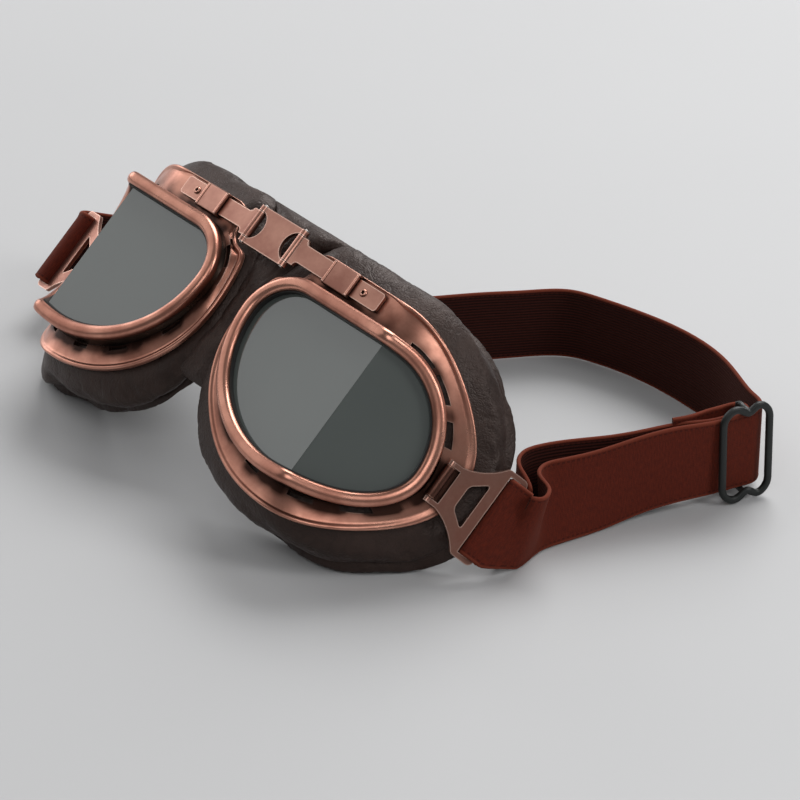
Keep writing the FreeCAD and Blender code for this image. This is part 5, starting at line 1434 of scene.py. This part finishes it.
# stop rivet: a hollow eyelet, a profile turned about its axis on the slider's face
eyelet = {
    "profile": (
        (0.34, 0.14), (0.46, 0.3), (0.62, 0.52), (0.84, 0.56), (1.04, 0.4), (1.15, 0.0), (1.0, -0.05),
    ),
    "along": 29.8, "face": 0.55, "steps": 36, "shadedHollow": 0.5,
}
radius, rise = np.array(eyelet["profile"]).T
turnBy = np.linspace(0, 2 * np.pi, eyelet["steps"], endpoint=False)[:, None]
local = np.stack([
    eyelet["along"] + radius * np.cos(turnBy),
    -eyelet["face"] - rise + 0 * turnBy,
    radius * np.sin(turnBy),
], -1)
rows, cols = local.shape[:2]
firstRing = np.arange(rows) * cols
# painted shade: the inside of the eyelet's hollow is darkened
eyeletMesh = {
    "caps": [firstRing, (firstRing + cols - 1)[::-1]],
    "values": {"shadeAndTarnish": np.tile(radius < eyelet["shadedHollow"], (rows, 1))},
    "sharp": 60,
}
eyeletQuads = gridQuads(rows, cols, True, False)
for side, made in mirroredPair("Eyelet", toWorld(aboutPin(local)), eyeletQuads, agedCopper, **eyeletMesh):
    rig.replaces(made, side + "_stop_rivet")
    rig.slot(made, "copper")
    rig.ride(made, side + "_slider")

# keeper lips: a low rounded bar across each end of the keeper's face
keeperLip = {"along": (16.25, 25.65), "face": 1.5, "half": 3.35, "wide": 0.42, "thick": 0.32}
rise = np.linspace(-keeperLip["half"], keeperLip["half"], 12)
sliderWay = flatWays(eyecup["foldDeg"])[0]
for k, along in enumerate(keeperLip["along"]):
    lipName = "KeeperLip" + str(k + 1)
    lipPath = aboutPin(np.stack([along + 0 * rise, -keeperLip["face"] + 0 * rise, rise], -1))
    lipBar = roundedBar(lipPath, sliderWay + 0 * lipPath, keeperLip["wide"], keeperLip["thick"], False)
    rows, cols = lipBar.shape[:2]
    lipMesh = {"caps": endCaps(rows, cols), "sharp": 60}
    lipQuads = gridQuads(rows, cols, False, True)
    for side, made in mirroredPair(lipName, toWorld(lipBar), lipQuads, agedCopper, **lipMesh):
        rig.slot(made, "copper")
        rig.ride(made, side + "_eyecup")
print("rivets and keeper lips done")

# small metal parts: a merged copy of the CAD solid with its corners rounded, sizes in mm
corners = {
    "bridge_link": 0.22, "left_slider": 0.22, "right_slider": 0.22, "left_keeper": 0.2, "right_keeper": 0.2,
    "left_bracket": 0.4, "right_bracket": 0.4, "left_lug": 0.15, "right_lug": 0.15,
}
pinCorner = 0.2
softening = {"merge": 0.002, "flat": 1.0, "segments": 3, "angle": 30.0}
fillet = {
    "shoulder": 1.3, "window": 1.1, "segments": 5, "sharpest": 0.5, "shoulderRun": 0.7, "windowRun": 1.0,
    "windowReach": (6.9, 12.7), "level": 0.05,
}


def worldWay(way):
    # a direction of the mask's frame, leaned with it
    return toWorld(way) - toWorld(np.zeros(3))


def shoulderEdges(work, side):
    # the inner corners beside a slider's neck: hollow edges that run through its plate
    plateWay = worldWay(flatWays(eyecup["foldDeg"] * (1 if side == "right" else -1))[1])
    picked = []
    for edge in work.edges:
        ends = np.array([v.co for v in edge.verts]) / mm
        through = abs((ends[1] - ends[0]) @ plateWay) > fillet["shoulderRun"]
        if through and not edge.is_convex and edge.calc_face_angle(0) > fillet["sharpest"]:
            picked.append(edge)
    return picked


def windowEdges(work, side):
    # the corners of a bracket's window: edges through its plate, within the window's reach of the hinge
    hinge, deg = hinges[side]
    reachWay, plateWay = (worldWay(way) for way in flatWays(deg))
    near, far = fillet["windowReach"]
    picked = []
    for edge in work.edges:
        ends = np.array([v.co for v in edge.verts]) / mm
        reach = (ends - toWorld(hinge)) @ reachWay
        through = abs((ends[1] - ends[0]) @ plateWay) > fillet["windowRun"]
        inWindow = abs(reach[0] - reach[1]) < fillet["level"] and near < reach[0] < far
        if through and inWindow and edge.calc_face_angle(0) > fillet["sharpest"]:
            picked.append(edge)
    return picked


def roundEdges(work, picked, radius):
    shape = {"segments": fillet["segments"], "profile": 0.5, "affect": "EDGES", "clamp_overlap": True}
    bmesh.ops.bevel(work, geom=picked, offset=radius * mm, **shape)


def roundedCopy(node, width, material, slotName):
    side = node.split("_")[0]
    work = bmesh.new()
    work.from_mesh(frame["nodes"][node].data)
    bmesh.ops.remove_doubles(work, verts=work.verts, dist=softening["merge"] * mm)
    flat = math.radians(softening["flat"])
    bmesh.ops.dissolve_limit(work, angle_limit=flat, verts=work.verts, edges=work.edges)
    if node.endswith("slider"):
        picked = shoulderEdges(work, side)
        roundEdges(work, picked, fillet["shoulder"])
        print(node, "shoulders filleted:", len(picked))
    if node.endswith("bracket"):
        # the window's corners get a wider round before the edges are softened
        picked = windowEdges(work, side)
        roundEdges(work, picked, fillet["window"])
        print(node, "window corners rounded:", len(picked))
    mesh = bpy.data.meshes.new(node + "Rounded")
    work.to_mesh(mesh)
    work.free()
    for name in ("custom_normal", "sharp_face", "sharp_edge"):
        if name in mesh.attributes:
            mesh.attributes.remove(mesh.attributes[name])
    mesh.materials.clear()
    mesh.materials.append(material)
    mesh.polygons.foreach_set("use_smooth", np.ones(len(mesh.polygons), bool))
    made = bpy.data.objects.new(node + "Rounded", mesh)
    bpy.context.scene.collection.objects.link(made)
    soften = made.modifiers.new("softCorners", "BEVEL")
    soften.width = width * mm
    soften.segments = softening["segments"]
    soften.limit_method = "ANGLE"
    soften.angle_limit = math.radians(softening["angle"])
    soften.harden_normals = True
    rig.replaces(made, node)
    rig.slot(made, slotName)
    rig.ride(made, bodyOfNode[node])


for node, width in corners.items():
    roundedCopy(node, width, smokedCopper if node.endswith("lug") else plateCopper, "copper")
for node in ("left_pin", "right_pin"):
    roundedCopy(node, pinCorner, pinSteel, "steel")
print("small parts rounded")

# CAD solids that are shown as they are
shownSolids = {
    "housing": darkNickel, "gasket": blackRubber, "front_lens": smokedGlass, "side_lens": smokedGlass,
}
for name, material in shownSolids.items():
    for side in ("left", "right"):
        mesh = frame["nodes"][side + "_" + name].data
        mesh.materials.clear()
        mesh.materials.append(material)

# floor, light and camera, in metres
floorLook = {"dark": (0.49, 0.49, 0.494), "light": (0.515, 0.515, 0.519), "rough": 0.6, "half": 4}
paleFloor, tree, shader = newMaterial("paleFloor")
speck = noiseAt(tree, objectPlace(tree), {"Scale": 6.0, "Detail": 3.0})["Fac"]
wire(tree, shader, {"Base Color": mixColor(tree, speck, floorLook["dark"], floorLook["light"])})
shader.inputs["Roughness"].default_value = floorLook["rough"]
floorMesh = bpy.data.meshes.new("floor")
floorSigns = ((-1, -1), (1, -1), (1, 1), (-1, 1))
floorCorners = [(sx * floorLook["half"], sy * floorLook["half"], 0) for sx, sy in floorSigns]
floorMesh.from_pydata(floorCorners, [], [(0, 1, 2, 3)])
floorMesh.materials.append(paleFloor)
floor = bpy.data.objects.new("floor", floorMesh)
bpy.context.scene.collection.objects.link(floor)
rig.stage(floor)

studio = {"color": (0.42, 0.43, 0.44, 1.0), "strength": 0.36}
world = bpy.context.scene.world or bpy.data.worlds.new("studio")
bpy.context.scene.world = world
world.use_nodes = True
world.node_tree.nodes["Background"].inputs["Color"].default_value = studio["color"]
world.node_tree.nodes["Background"].inputs["Strength"].default_value = studio["strength"]

# soft boxes: place, aim, size and power
softBoxes = {
    "keyBox": ((-0.35, 0.75, 1.15), (0.0, 0.0, 0.03), (1.0, 0.7), 13.5),
    "leftBox": ((-1.1, -0.55, 0.9), (0.0, 0.0, 0.03), (1.7, 1.7), 6.0),
    "frontBox": ((0.75, -0.6, 0.95), (0.02, 0.0, 0.03), (0.7, 0.7), 3.2),
    "lowBox": ((-1.3, 0.05, 0.42), (0.0, 0.0, 0.03), (0.8, 0.6), 3.0),
    "backBox": ((-0.55, 1.15, 0.75), (0.0, 0.0, 0.04), (0.9, 0.5), 5.0),
    "rightBox": ((1.0, 0.5, 0.75), (0.05, 0.0, 0.03), (0.35, 0.9), 5.5),
}
for name, (place, aim, size, power) in softBoxes.items():
    lamp = bpy.data.lights.new(name, "AREA")
    lamp.shape = "RECTANGLE"
    lamp.size, lamp.size_y = size
    lamp.energy = power
    made = bpy.data.objects.new(name, lamp)
    made.location = place
    made.rotation_euler = (Vector(aim) - Vector(place)).to_track_quat("-Z", "Y").to_euler()
    bpy.context.scene.collection.objects.link(made)

view = {
    "place": (0.69193, -0.53271, 0.51975), "azimuth": 51.71, "elevation": 30.71, "lens": 155.1,
    "sensor": 36.0,
}
az, el = math.radians(view["azimuth"]), math.radians(view["elevation"])
back = Vector((math.sin(az) * math.cos(el), -math.cos(az) * math.cos(el), math.sin(el)))
right = Vector((math.cos(az), math.sin(az), 0.0))
up = back.cross(right)
lensData = bpy.data.cameras.new("camera")
lensData.lens = view["lens"]
lensData.sensor_width = view["sensor"]
camera = bpy.data.objects.new("camera", lensData)
camera.matrix_world = Matrix.Translation(view["place"]) @ Matrix((right, up, back)).transposed().to_4x4()
bpy.context.scene.collection.objects.link(camera)
bpy.context.scene.camera = camera
bpy.context.scene.view_settings.view_transform = "Standard"
print("floor, lights and camera set:", len(softBoxes), "lights")

shownBox = [[float(v) for v in corner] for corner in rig.bounds()]
with open("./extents.json", "w") as out:
    json.dump({"cad": cadBox, "shown": shownBox}, out)
print("size:", cadBox, shownBox)
